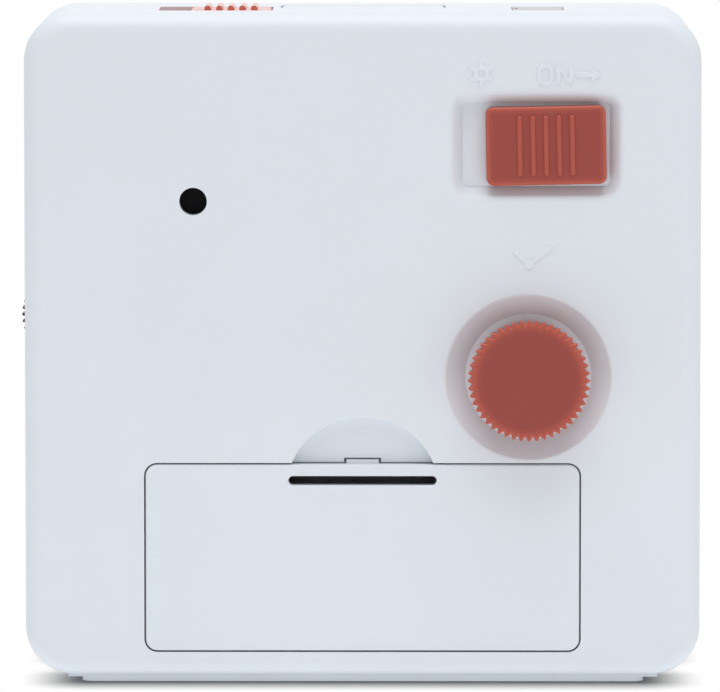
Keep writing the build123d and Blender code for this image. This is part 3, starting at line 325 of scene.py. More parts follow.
class CellPrintGroup(SurfaceGroup):
    """Printed film of a dry cell: a dark band at the positive end, and bare steel past the film."""

    name = "cell_print"
    takes = (("Wrap", Socket.COLOUR), ("Band", Socket.COLOUR), ("Steel", Socket.COLOUR),
             ("Band Start", Socket.NUMBER), ("Wrap End", Socket.NUMBER))
    gives = (("Colour", Socket.COLOUR), ("Steel Mask", Socket.NUMBER))

    def wire(self, maker: NodeTree, given: bpy.types.NodeOutputs) -> Inputs:
        """Wire the place along X to the band's mask and to the mask of the bare steel.

        Args:
            maker: Helper of the group's tree.
            given: Sockets of the group's inputs.

        Returns:
            Sockets by name of the group's outputs.
        """
        along = maker.add("ShaderNodeSeparateXYZ", {0: maker.place()}).outputs["X"]
        band = maker.work("GREATER_THAN", along, given["Band Start"])
        bare = maker.work("GREATER_THAN", along, given["Wrap End"])
        film = maker.mix(band, given["Wrap"], given["Band"])
        return {"Colour": maker.mix(bare, film, given["Steel"]), "Steel Mask": bare}


class ContactShadowGroup(SurfaceGroup):
    """Mask of a painted shadow on a table round a foot: 0 under the foot, 1 where the shadow has faded out.

    Past the foot's ends the painted shadow is kept to two bands along its long edges.
    """

    name = "contact_shadow"
    takes = (("Half Width", Socket.NUMBER), ("Half Depth", Socket.NUMBER), ("Band", Socket.NUMBER),
             ("Reach", Socket.NUMBER))
    gives = (("Open", Socket.NUMBER),)

    def wire(self, maker: NodeTree, given: bpy.types.NodeOutputs) -> Inputs:
        """Wire the distance from the foot, and from its bands past the ends, to a soft ramp.

        Args:
            maker: Helper of the group's tree.
            given: Sockets of the group's inputs.

        Returns:
            The mask, by name of the group's output.
        """
        axes = maker.add("ShaderNodeSeparateXYZ", {0: maker.place()}).outputs
        width, depth = maker.work("ABSOLUTE", axes["X"]), maker.work("ABSOLUTE", axes["Y"])
        past_end = maker.work("MAXIMUM", maker.work("SUBTRACT", width, given["Half Width"]), 0.0)
        past_edge = maker.work("SUBTRACT", depth, given["Half Depth"])
        band_edge = maker.work("SUBTRACT", given["Half Depth"], given["Band"])
        past_band = maker.work("MINIMUM", maker.work("SUBTRACT", band_edge, depth), past_end)
        along = maker.work("MAXIMUM", maker.work("MAXIMUM", past_edge, past_band), 0.0)
        away = maker.add("ShaderNodeCombineXYZ", {"X": past_end, "Y": along}).outputs[0]
        far = maker.add("ShaderNodeVectorMath", {0: away}, operation="LENGTH").outputs["Value"]
        ramp = maker.add("ShaderNodeMapRange", {"Value": far, "From Max": given["Reach"]},
                         interpolation_type="SMOOTHSTEP")
        return {"Open": ramp.outputs["Result"]}


# Finishes
@dataclass(frozen=True)
class Finish:
    """Base of the finishes: a named material, built once."""

    name: str

    @cache
    def material(self) -> bpy.types.Material:
        """Build the material on the first call, and keep it for later ones.

        Returns:
            The material, with its main shader wired.
        """
        material = bpy.data.materials.new(self.name)
        material.use_nodes = True
        self.wire(NodeTree(material.node_tree), material.node_tree.nodes["Principled BSDF"])
        return material

    def wire(self, maker: NodeTree, shader: bpy.types.Node) -> None:
        """Wire what feeds the main shader; each finish has its own."""
        raise NotImplementedError


@dataclass(frozen=True)
class MouldedFinish(Finish):
    """Moulded or painted surface with a fine grain: one colour, its gloss and its texture."""

    shade: Shade
    roughness: float = 0.45
    spread: float = 0.12
    mottle: float = 0.05
    grain_scale: float = 9000.0
    grain_depth: float = 0.004 * MM
    grain_strength: float = 0.25
    specular: float = 0.5
    edge_shade: Shade | None = None

    def colour(self, maker: NodeTree) -> Colour | bpy.types.NodeSocket:
        """Plain colour, or a blend to a brighter one where a painted highlight lies on edges and ribs.

        Args:
            maker: Helper of the material's tree.

        Returns:
            A colour, or the socket that gives it.
        """
        if self.edge_shade is None:
            return self.shade.value
        thin = maker.add("ShaderNodeAttribute", attribute_name=PAINTED_EDGE_HIGHLIGHT).outputs["Fac"]
        return maker.mix(thin, self.shade.value, self.edge_shade.value)

    def wire(self, maker: NodeTree, shader: bpy.types.Node) -> None:
        """Wire the shared grain to the colour, the gloss and the small heights.

        Args:
            maker: Helper of the material's tree.
            shader: Main shader of the material.
        """
        grain = maker.group(GrainGroup(), {
            "Colour": self.colour(maker), "Mottle": self.mottle, "Scale": self.grain_scale,
            "Roughness": self.roughness, "Spread": self.spread})
        normal = maker.bump(grain["Height"], self.grain_strength, self.grain_depth)
        maker.fill(shader, {"Base Color": grain["Colour"], "Roughness": grain["Roughness"],
                            "Normal": normal, "Specular IOR Level": self.specular})


@dataclass(frozen=True)
class MetalFinish(Finish):
    """Bare metal with drawn streaks."""

    shade: Shade
    roughness: float = 0.3
    contrast: float = 0.2
    streak_depth: float = 0.003 * MM
    streak_strength: float = 0.3

    def wire(self, maker: NodeTree, shader: bpy.types.Node) -> None:
        """Wire the shared streaks to the colour, the gloss and the small heights.

        Args:
            maker: Helper of the material's tree.
            shader: Main shader of the material.
        """
        streak = maker.group(StreakGroup(), {"Colour": self.shade.value, "Contrast": self.contrast,
                                             "Roughness": self.roughness})
        normal = maker.bump(streak["Height"], self.streak_strength, self.streak_depth)
        maker.fill(shader, {"Base Color": streak["Colour"], "Roughness": streak["Roughness"],
                            "Normal": normal, "Metallic": 1.0})


@dataclass(frozen=True)
class PaneFinish(Finish):
    """Clear or tinted pane with a polished surface that has faint swirls."""

    shade: Shade
    roughness: float = 0.03
    index: float = 1.49
    swirl_scale: float = 220.0
    swirl_detail: float = 2.0
    swirl_spread: float = 0.04

    def wire(self, maker: NodeTree, shader: bpy.types.Node) -> None:
        """Wire a soft noise to the gloss, and let all light through.

        Args:
            maker: Helper of the material's tree.
            shader: Main shader of the material.
        """
        swirl = maker.noise(maker.place(), self.swirl_scale, self.swirl_detail)
        gloss = maker.work("MULTIPLY_ADD", swirl, self.swirl_spread, self.roughness)
        maker.fill(shader, {"Roughness": gloss, "Base Color": self.shade.value,
                            "Transmission Weight": 1.0, "IOR": self.index})


@dataclass(frozen=True)
class CellFinish(Finish):
    """Printed film round a dry cell."""

    wrap: Shade
    band: Shade
    steel: Shade
    band_start: float = 17.0 * MM
    wrap_end: float = 24.6 * MM
    roughness: float = 0.3

    def wire(self, maker: NodeTree, shader: bpy.types.Node) -> None:
        """Wire the print to the colour, and the bare steel to the metal.

        Args:
            maker: Helper of the material's tree.
            shader: Main shader of the material.
        """
        film = maker.group(CellPrintGroup(), {
            "Wrap": self.wrap.value, "Band": self.band.value, "Steel": self.steel.value,
            "Band Start": self.band_start, "Wrap End": self.wrap_end})
        maker.fill(shader, {"Base Color": film["Colour"], "Metallic": film["Steel Mask"],
                            "Roughness": self.roughness})


WHITE = MouldedFinish("white_satin_moulding", Shade.CASE_WHITE, roughness=0.5)
# The red mouldings carry a painted edge highlight
RED = MouldedFinish("red_satin_moulding", Shade.CONTROL_RED, roughness=0.4, edge_shade=Shade.EDGE_ORANGE)
# The slider's finish is lightened as painted light
SLIDER = MouldedFinish("painted_light_red_moulding", Shade.SLIDER_RED, roughness=0.16, spread=0.06)
# The thumbwheel's finish is darkened as painted shade
WHEEL = MouldedFinish("painted_shade_red_moulding", Shade.WHEEL_RED, roughness=0.4)
INK = MouldedFinish("printing_ink", Shade.INK_BLACK, roughness=0.55, grain_strength=0.05)
LUME = MouldedFinish("pale_hand_filling", Shade.LUME_GREEN, roughness=0.6)

FINISHES: dict[str, Finish] = {
    "white_case": WHITE,
    "red_control": RED,
    "clear_pane": PaneFinish("clear_lens", Shade.CLEAR),
    "smoked_window": PaneFinish("smoked_window_pane", Shade.SMOKE, roughness=0.12),
    "dial_white": MouldedFinish("dial_card", Shade.DIAL_WHITE, roughness=0.6),
    "hand_black": MouldedFinish("black_hand_paint", Shade.INK_BLACK, roughness=0.35),
    "hand_red": MouldedFinish("red_hand_paint", Shade.HAND_RED, roughness=0.35),
    "gear_plastic": MouldedFinish("natural_acetal", Shade.NATURAL_ACETAL, roughness=0.4),
    "plate_plastic": MouldedFinish("grey_plate_moulding", Shade.PLATE_GREY, roughness=0.5),
    "magnet": MouldedFinish("bonded_magnet", Shade.MAGNET_GREY, roughness=0.5),
    "steel": MetalFinish("nickel_plate", Shade.NICKEL, roughness=0.28),
    "copper": MetalFinish("enamelled_copper", Shade.COPPER, roughness=0.3),
    "board": MouldedFinish("green_board_mask", Shade.BOARD_GREEN, roughness=0.35),
    "black_plastic": MouldedFinish("black_moulding", Shade.SOOT, roughness=0.6, specular=0.2),
    "cell_wrap": CellFinish("cell_wrap_film", Shade.CELL_WRAP, Shade.CELL_BAND, Shade.NICKEL),
    "lamp_red": MouldedFinish("red_lamp_resin", Shade.LAMP_RED, roughness=0.15),
    "lamp_clear": PaneFinish("clear_lamp_resin", Shade.CLEAR),
    "foot_rubber": MouldedFinish("grey_foot_rubber", Shade.FOOT_GREY, roughness=0.7),
}
SLOTS: dict[str, str] = {row["node"]: row["material_slot"] for row in frame["record"]["subparts"]}


# Surfaces, worked out as whole arrays
def loft(loops: np.ndarray, ring: bool = False) -> Skin:
    """Closed skin through stacked loops of points.

    Neighbouring loops are joined by four-sided faces. The two ends are closed by one face each,
    or joined to one another where the stack runs round in a ring.

    Args:
        loops: Points by loop, place along the loop and axis.
        ring: True where the last loop joins the first.

    Returns:
        The points in one array, and arrays of point numbers with one face in each row.
    """
    rows, count, _ = loops.shape
    index = np.arange(rows * count).reshape(rows, count)
    if ring:
        index = np.vstack([index, index[:1]])
    beside = np.roll(index, -1, axis=1)
    quads = np.stack([index[:-1], beside[:-1], beside[1:], index[1:]], axis=-1).reshape(-1, 4)
    caps = [] if ring else [np.stack([index[0, ::-1], index[-1]])]
    return loops.reshape(-1, 3), [quads, *caps]


def stack_outlines(outlines: np.ndarray, depths: np.ndarray) -> np.ndarray:
    """Loops of X, Y and Z from outlines drawn in X and Z, each at its own depth along Y."""
    depth = np.broadcast_to(depths[:, None], outlines.shape[:2])
    return np.stack([outlines[..., 0], depth, outlines[..., 1]], axis=-1)


def circle(radius: float, count: int = 48) -> np.ndarray:
    """Points on a circle in X and Z: the radius times the cosine and sine of even turns."""
    turn = np.linspace(0.0, math.tau, count, endpoint=False)
    return radius * np.stack([np.cos(turn), np.sin(turn)], axis=1)


def rounded_outline(width: float, height: float, corner: float, insets: np.ndarray,
                    steps: int = 8) -> np.ndarray:
    """Rounded rectangles about the origin, one for each inset.

    Each corner is an arc about a fixed middle; an inset shortens the arc's radius, so it must
    not be more than the corner.

    Args:
        width: Full width.
        height: Full height.
        corner: Radius of the outermost corners.
        insets: How far each outline lies inside the outermost one.
        steps: Points on each corner.

    Returns:
        Points by outline, place along it and axis.
    """
    turns = np.arange(4)[:, None] * QUARTER_TURN + np.linspace(0.0, QUARTER_TURN, steps)[None, :]
    ways = np.stack([np.cos(turns), np.sin(turns)], axis=-1)
    signs = np.array([[1, 1], [-1, 1], [-1, -1], [1, -1]], dtype=float)
    middles = signs * (np.array([width, height]) / 2 - corner)
    rims = middles[None, :, None, :] + (corner - insets)[:, None, None, None] * ways[None]
    return rims.reshape(len(insets), -1, 2)


def rounded_block(width: float, height: float, corner: float, low: float, high: float,
                  edge: float, steps: int = 6, margins: tuple[float, ...] = ()) -> Skin:
    """Block with rounded corners whose back edge is rounded over.

    Across the edge, over a quarter turn, the outline draws in by the edge's radius times one less
    the cosine and moves back by the radius times the sine.

    Args:
        width: Size along X.
        height: Size along Z.
        corner: Radius of the upright corners, not less than the edge.
        low: Front end along Y.
        high: Back end along Y.
        edge: Radius of the rounded back edge.
        steps: Loops across the rounded edge.
        margins: Insets of more loops on the flat back, up to the corner's radius.

    Returns:
        Points and faces about the origin of X and Z.
    """
    turn = np.linspace(0.0, QUARTER_TURN, steps)
    insets = np.concatenate([[0.0], edge * (1.0 - np.cos(turn)), margins])
    depths = np.concatenate([[low], high - edge + edge * np.sin(turn), np.full(len(margins), high)])
    return loft(stack_outlines(rounded_outline(width, height, corner, insets), depths))


def spaced(count: int, pitch: float) -> np.ndarray:
    """Places of a row of things about its middle, one pitch apart."""
    return (np.arange(count) - (count - 1) / 2) * pitch


def ridge(path: np.ndarray, width: float, rise: float, slope: float, sink: float,
          ring: bool = False) -> Skin:
    """Raised stroke with sloping sides along a path in the plane of X and Z.

    The section is carried square to the path. At a bend it is widened by one over the cosine of
    half the bend, up to a limit, so the stroke keeps its width. An open end slopes down to a loop
    that lies under the face.

    Args:
        path: Points of the stroke's middle line in X and Z.
        width: Width of the flat top.
        rise: Height of the top above the face, along +Y.
        slope: Width of each sloping side.
        sink: How far the foot lies under the face.
        ring: True where the path is closed.

    Returns:
        Points and faces, with the face at Y = 0.
    """
    steps = np.diff(path, axis=0)
    ahead = np.roll(path, -1, axis=0) - path if ring else np.vstack([steps, steps[-1:]])
    behind = path - np.roll(path, 1, axis=0) if ring else np.vstack([steps[:1], steps])
    ahead = ahead / np.linalg.norm(ahead, axis=1, keepdims=True)
    behind = behind / np.linalg.norm(behind, axis=1, keepdims=True)
    along = (ahead + behind) / np.linalg.norm(ahead + behind, axis=1, keepdims=True)
    across = np.stack([-along[:, 1], along[:, 0]], axis=1)
    widen = 1.0 / np.clip(np.sum(along * ahead, axis=1), LEAST_BEND_COSINE, 1.0)
    offsets = np.array([-width / 2 - slope, -width / 2, width / 2, width / 2 + slope])
    heights = np.array([-sink, rise, rise, -sink])
    flat = path[:, None, :] + across[:, None, :] * (widen[:, None] * offsets[None, :])[..., None]
    loops = np.stack([flat[..., 0], np.broadcast_to(heights, flat.shape[:2]), flat[..., 1]], axis=-1)
    if not ring:
        first, last = loops[:1].copy(), loops[-1:].copy()
        first[..., [0, 2]] -= along[0] * slope
        last[..., [0, 2]] += along[-1] * slope
        first[..., 1] = last[..., 1] = np.array([-sink, -sink / 2, -sink / 2, -sink])
        loops = np.concatenate([first, loops, last])
    return loft(loops, ring)


class Surface:
    """Points and faces of one piece, gathered in millimetres."""

    def __init__(self) -> None:
        """Start with no points."""
        self.points: list[np.ndarray] = []
        self.thin: list[np.ndarray] = []
        self.faces: list[list[int]] = []
        self.count = 0

    def add(self, skin: Skin, shift: Place = (0.0, 0.0, 0.0), way: Way = Way.BACK,
            thin: float | np.ndarray = 0.0) -> None:
        """Add a skin, moved to its place.

        Args:
            skin: Points and faces.
            shift: Where the skin's origin goes, in millimetres.
            way: Direction in which the skin's +Y points.
            thin: How far each point takes the painted edge highlight, from 0 to 1.
        """
        points, faces = skin
        self.points.append(points * np.array([1.0, way.value, 1.0]) + np.array(shift))
        self.thin.append(np.broadcast_to(thin, len(points)))
        for rows in faces:
            self.faces += (rows + self.count).tolist()
        self.count += len(points)

    def piece(self, name: str, slot: str, body: str, finish: Finish,
              sharp: float = 35.0) -> bpy.types.Object:
        """Make the gathered skin an object that rides on a body.

        Args:
            name: Name of the object.
            slot: Material slot of the record; not used.
            body: Body it moves with.
            finish: Finish of the whole piece.
            sharp: Angle in degrees above which an edge stays sharp.

        Returns:
            The new object, at the origin, in metres.
        """
        mesh = bpy.data.meshes.new(name)
        mesh.from_pydata((np.vstack(self.points) * MM).tolist(), [], self.faces)
        shell = bmesh.new()
        shell.from_mesh(mesh)
        bmesh.ops.recalc_face_normals(shell, faces=shell.faces)
        shell.to_mesh(mesh)
        shell.free()
        mesh.polygons.foreach_set("use_smooth", np.ones(len(mesh.polygons), dtype=bool))
        mesh.set_sharp_from_angle(angle=math.radians(sharp))
        # Store each point's share of the painted edge highlight for the red finish
        painted_edge_highlight = mesh.attributes.new(PAINTED_EDGE_HIGHLIGHT, "FLOAT", "POINT")
        painted_edge_highlight.data.foreach_set("value", np.concatenate(self.thin))
        mesh.materials.append(finish.material())
        piece = new_object(name, mesh)
        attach(piece, body)
        LOG.info("built %s with %d faces", name, len(mesh.polygons))
        return piece


# Sub-assemblies of the clock
@dataclass
class SubAssembly:
    """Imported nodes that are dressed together, with the fine pieces that go on them."""

    nodes: tuple[str, ...] = ()

    def finish_of(self, node: str) -> Finish:
        """Finish of a node, by the slot that the record gives it."""
        return FINISHES[SLOTS[node]]

    def dress(self) -> None:
        """Put each node's finish on it."""
        for node in self.nodes:
            finish = self.finish_of(node)
            piece = frame["nodes"][node]
            piece.data.materials.clear()
            piece.data.materials.append(finish.material())
            LOG.info("dressed %s with %s", node, finish.name)

    def build(self) -> None:
        """Add the fine pieces; a plain group has none."""

    def make(self) -> None:
        """Dress the nodes and add the fine pieces."""
        self.dress()
        self.build()


@dataclass
class Case(SubAssembly):
    """White case with its raised marks: a lamp sign, ON with an arrow, and a pair of hands."""

    nodes: tuple[str, ...] = ("rear_shell", "front_bezel", "base_pad")
    rise: float = 0.18
    crossing_step: float = 0.02
    slope: float = 0.1
    sink: float = 0.04
    stroke: float = 0.42
    sun_at: tuple[float, float] = (-15.39, 79.77)
    sun_radius: float = 0.78
    sun_rays: int = 6
    ray_span: tuple[float, float] = (0.9, 1.78)
    letter_height: float = 2.3
    letter_width: float = 1.6
    letter_round_share: float = 0.96
    letter_o_x: float = -23.7
    letter_n_x: float = -26.2
    letter_z: float = 79.6
    arrow_span: tuple[float, float] = (-27.7, -31.0)
    arrow_head_length: float = 1.35
    arrow_head_half: float = 0.8
    arrow_stroke: float = 0.5
    hands_at: tuple[float, float] = (-21.65, 54.95)
    hand_tips: tuple[tuple[float, float], ...] = ((1.9, 1.65), (-2.85, 2.3))
    hand_stroke: float = 0.5
    hub_radius: float = 0.6
    sharp_angle: float = 50.0

    @property
    def back(self) -> float:
        """Plane of the back face along Y."""
        return float(node_box("rear_shell")[1][1])

    def stroke_path(self, surface: Surface, path: list[tuple[float, float]] | np.ndarray,
                    ring: bool = False, width: float | None = None, lower: float = 0.0) -> None:
        """Add one raised stroke.

        Args:
            surface: Where the stroke goes.
            path: Middle line in X and Z.
            ring: True where the path is closed.
            width: Width of the top, where it isn't the usual stroke.
            lower: How far the top stays below the others, where strokes cross.
        """
        line = np.array(path, dtype=float)
        skin = ridge(line, width or self.stroke, self.rise - lower, self.slope, self.sink, ring)
        surface.add(skin, (0.0, self.back, 0.0))

    def plateau(self, surface: Surface, top: np.ndarray, foot: np.ndarray) -> None:
        """Add a flat raised form that slopes from its foot's outline to its top's."""
        levels = np.array([-self.sink, self.rise])
        surface.add(loft(stack_outlines(np.stack([foot, top]), levels)), (0.0, self.back, 0.0))

    def sun(self, surface: Surface) -> None:
        """Add a ring with short rays at even turns, the first of them upright.

        Args:
            surface: Where the strokes go.
        """
        middle = np.array(self.sun_at)
        self.stroke_path(surface, middle + circle(self.sun_radius), ring=True)
        for turn in QUARTER_TURN + np.arange(self.sun_rays) * math.tau / self.sun_rays:
            way = np.array([math.cos(turn), math.sin(turn)])
            self.stroke_path(surface, middle + np.outer(self.ray_span, way), lower=self.crossing_step)

    def letters(self, surface: Surface) -> None:
        """Add an O, whose middle line is a rounded rectangle, and an N, both readable from behind.

        Args:
            surface: Where the strokes go.
        """
        half_x, half_z = self.letter_width / 2, self.letter_height / 2
        rim = rounded_outline(self.letter_width, self.letter_height, half_x * self.letter_round_share,
                              np.zeros(1))[0]
        self.stroke_path(surface, rim + np.array([self.letter_o_x, self.letter_z]), ring=True)
        left, right = self.letter_n_x + half_x, self.letter_n_x - half_x
        low, high = self.letter_z - half_z, self.letter_z + half_z
        self.stroke_path(surface, [(left, low), (left, high)])
        self.stroke_path(surface, [(right, low), (right, high)])
        self.stroke_path(surface, [(left, high), (right, low)], lower=self.crossing_step)

    def arrow(self, surface: Surface) -> None:
        """Add an arrow with a broad shaft and a solid head.

        The head is a triangle, and its foot is the same triangle grown about its middle.

        Args:
            surface: Where the arrow goes.
        """
        tail, tip = self.arrow_span
        half = self.arrow_head_half
        neck = tip + self.arrow_head_length
        shaft = [(tail, self.letter_z), (neck - self.arrow_head_length / 2, self.letter_z)]
        self.stroke_path(surface, shaft, width=self.arrow_stroke, lower=self.crossing_step)
        head = np.array([(tip, 0.0), (neck, half), (neck, -half)]) + np.array([0.0, self.letter_z])
        middle = head.mean(axis=0)
        self.plateau(surface, head, middle + (head - middle) * (1.0 + self.slope / half))

    def hands(self, surface: Surface) -> None:
        """Add two raised hands that meet on a round hub, each a little lower than the one before.

        Args:
            surface: Where the strokes go.
        """
        middle = np.array(self.hands_at)
        for level, tip in enumerate(self.hand_tips, start=1):
            self.stroke_path(surface, np.stack([middle, middle + np.array(tip)]), width=self.hand_stroke,
                             lower=level * self.crossing_step)
        top, foot = circle(self.hub_radius), circle(self.hub_radius + self.slope)
        self.plateau(surface, middle + top, middle + foot)

    def build(self) -> None:
        """Build all marks as one piece of the case."""
        surface = Surface()
        self.sun(surface)
        self.letters(surface)
        self.arrow(surface)
        self.hands(surface)
        surface.piece("case_marks", "white_case", "case", WHITE, sharp=self.sharp_angle)


@dataclass
class SetKnob(SubAssembly):
    """Red toothed knob that sets the hands, with a rounded rim."""

    nodes: tuple[str, ...] = ("set_knob", "setting_shaft")
    teeth: int = 48
    tooth_samples: int = 12
    tooth_depth: float = 0.6
    tooth_sharpness: float = 0.85
    taper: float = 0.6
    rim: float = 0.35
    rim_steps: int = 8
    # Painted highlight: its share on the rounded rim, and on plain rings that fade it out over the face
    rim_glow: tuple[float, float] = (1.0, 0.6)
    glow_radii: tuple[float, ...] = (6.75, 6.4, 5.9)
    glow_levels: tuple[float, ...] = (0.24, 0.07, 0.0)

    def build(self) -> None:
        """Build the knob as one skin about its axis.

        The radius is the full radius less the tooth depth times half of one minus a triangle-like
        wave, the arcsine of a cosine that runs once round in each tooth. It grows by the taper from
        the base to the face. Over the rounded rim it shrinks by the rim's own arc, and on the face
        plain rings follow, over which the painted edge highlight fades.
        """
        low, high = node_box("set_knob")
        middle = (low + high) / 2
        radius = (high[0] - low[0]) / 2
        turn = np.linspace(0.0, math.tau, self.teeth * self.tooth_samples, endpoint=False)
        wave = np.arcsin(self.tooth_sharpness * np.cos(self.teeth * turn)) / np.arcsin(self.tooth_sharpness)
        notch = self.tooth_depth * (1.0 - wave) / 2
        arc = np.linspace(0.0, QUARTER_TURN, self.rim_steps)
        rings = np.array(self.glow_radii)
        insets = np.concatenate([[self.taper], self.rim * (1.0 - np.cos(arc)), radius - rings])
        depths = np.concatenate([[low[1]], high[1] - self.rim + self.rim * np.sin(arc),
                                 np.full(len(rings), high[1])])
        toothed = np.concatenate([np.ones(self.rim_steps + 1), np.zeros(len(rings))])
        reach = radius - insets[:, None] - toothed[:, None] * notch[None, :]
        outlines = np.stack([reach * np.cos(turn), reach * np.sin(turn)], axis=-1) + middle[[0, 2]]
        # Share of painted highlight on each loop: none at the base, the most on the rim
        thin = np.concatenate([[0.0], np.linspace(*self.rim_glow, self.rim_steps), self.glow_levels])
        surface = Surface()
        surface.add(loft(stack_outlines(outlines, depths)), thin=np.repeat(thin, len(turn)))
        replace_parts(surface.piece("set_knob_skin", "red_control", "knob", RED), "set_knob")


@dataclass
class LightSwitch(SubAssembly):
    """Red slide button with five rounded ribs, a little askew in its recess."""

    nodes: tuple[str, ...] = ("light_switch", "light_switch_body")
    size: tuple[float, float] = (15.6, 10.2)
    corner: float = 1.0
    edge: float = 0.32
    edge_steps: int = 6
    # Painted highlight: insets of the loops that fade it in from the edge, and its share on them, on the rim
    # and on the ribs
    glow_margins: tuple[float, ...] = (0.5, 0.95)
    glow_levels: tuple[float, ...] = (0.28, 0.06)
    rim_glow: float = 0.6
    rib_glow: float = 0.5
    thickness: float = 2.1
    tilt: float = math.radians(1.2)
    ribs: int = 5
    rib_pitch: float = 1.7
    rib_width: float = 0.72
    rib_length: float = 7.9
    rib_rise: float = 0.3
    rib_corner: float = 0.35
    rib_edge: float = 0.28
    neck: tuple[float, float] = (5.0, 4.0)
    foot: tuple[float, float] = (8.0, 5.4)
    foot_thickness: float = 0.8
    nub: tuple[float, float] = (3.0, 3.0)
    nub_length: float = 1.7
    stem_corner: float = 0.4
    stem_edge: float = 0.2

    def button(self, surface: Surface, face: float, middle: np.ndarray) -> None:
        """Add the block with its ribs, and turn them a little about their middle.

        The turn multiplies X and Z by the square of cosines and sines of the tilt.

        Args:
            surface: Where they go.
            face: Plane of the button's face along Y.
            middle: Middle of the button in X and Z.
        """
        block = rounded_block(*self.size, self.corner, face - self.thickness, face, self.edge,
                              self.edge_steps, self.glow_margins)
        # Share of painted highlight on each loop of the block
        thin = np.concatenate([[0.0], np.full(self.edge_steps, self.rim_glow), self.glow_levels])
        surface.add(block, thin=np.repeat(thin, len(block[0]) // len(thin)))
        rib = rounded_block(self.rib_width, self.rib_length, self.rib_corner, face - self.rib_rise,
                            face + self.rib_rise, self.rib_edge)
        for place in spaced(self.ribs, self.rib_pitch):
            surface.add(rib, (place, 0.0, 0.0), thin=self.rib_glow)
        turned = np.vstack(surface.points)
        spin = np.array([[math.cos(self.tilt), -math.sin(self.tilt)],
                         [math.sin(self.tilt), math.cos(self.tilt)]])
        turned[:, [0, 2]] = turned[:, [0, 2]] @ spin + middle
        surface.points = [turned]

    def stem(self, surface: Surface, low: float, face: float, middle: np.ndarray) -> None:
        """Add the neck, the foot and the nub that reach from the button to the switch inside.

        Args:
            surface: Where they go.
            low: Front end of the nub along Y.
            face: Plane of the button's face along Y.
            middle: Middle of the button in X and Z.
        """
        foot_front = low + self.nub_length
        foot_back = foot_front + self.foot_thickness
        blocks = (
            (self.neck, foot_back - self.stem_corner, face - self.thickness + self.edge),
            (self.foot, foot_front, foot_back),
            (self.nub, low, foot_front + self.foot_thickness / 2),
        )
        for size, front, back in blocks:
            block = rounded_block(*size, self.stem_corner, front, back, self.stem_edge)
            surface.add(block, (middle[0], 0.0, middle[1]))

    def build(self) -> None:
        """Build the button and its stem as one piece."""
        low, high = node_box("light_switch")
        middle = ((low + high) / 2)[[0, 2]]
        face = high[1] - self.rib_rise
        surface = Surface()
        self.button(surface, face, middle)
        self.stem(surface, low[1], face, middle)
        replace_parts(surface.piece("light_switch_skin", "red_control", "light_button", RED), "light_switch")


@dataclass
class AlarmWheel(SubAssembly):
    """Thumbwheel at the side, in a red darkened as painted shade, with its gears to the alarm hand."""

    nodes: tuple[str, ...] = ("alarm_set_wheel", "alarm_idler", "alarm_wheel")

    def finish_of(self, node: str) -> Finish:
        """The thumbwheel takes a red darkened as painted shade; the other controls keep theirs."""
        return WHEEL if node == "alarm_set_wheel" else super().finish_of(node)


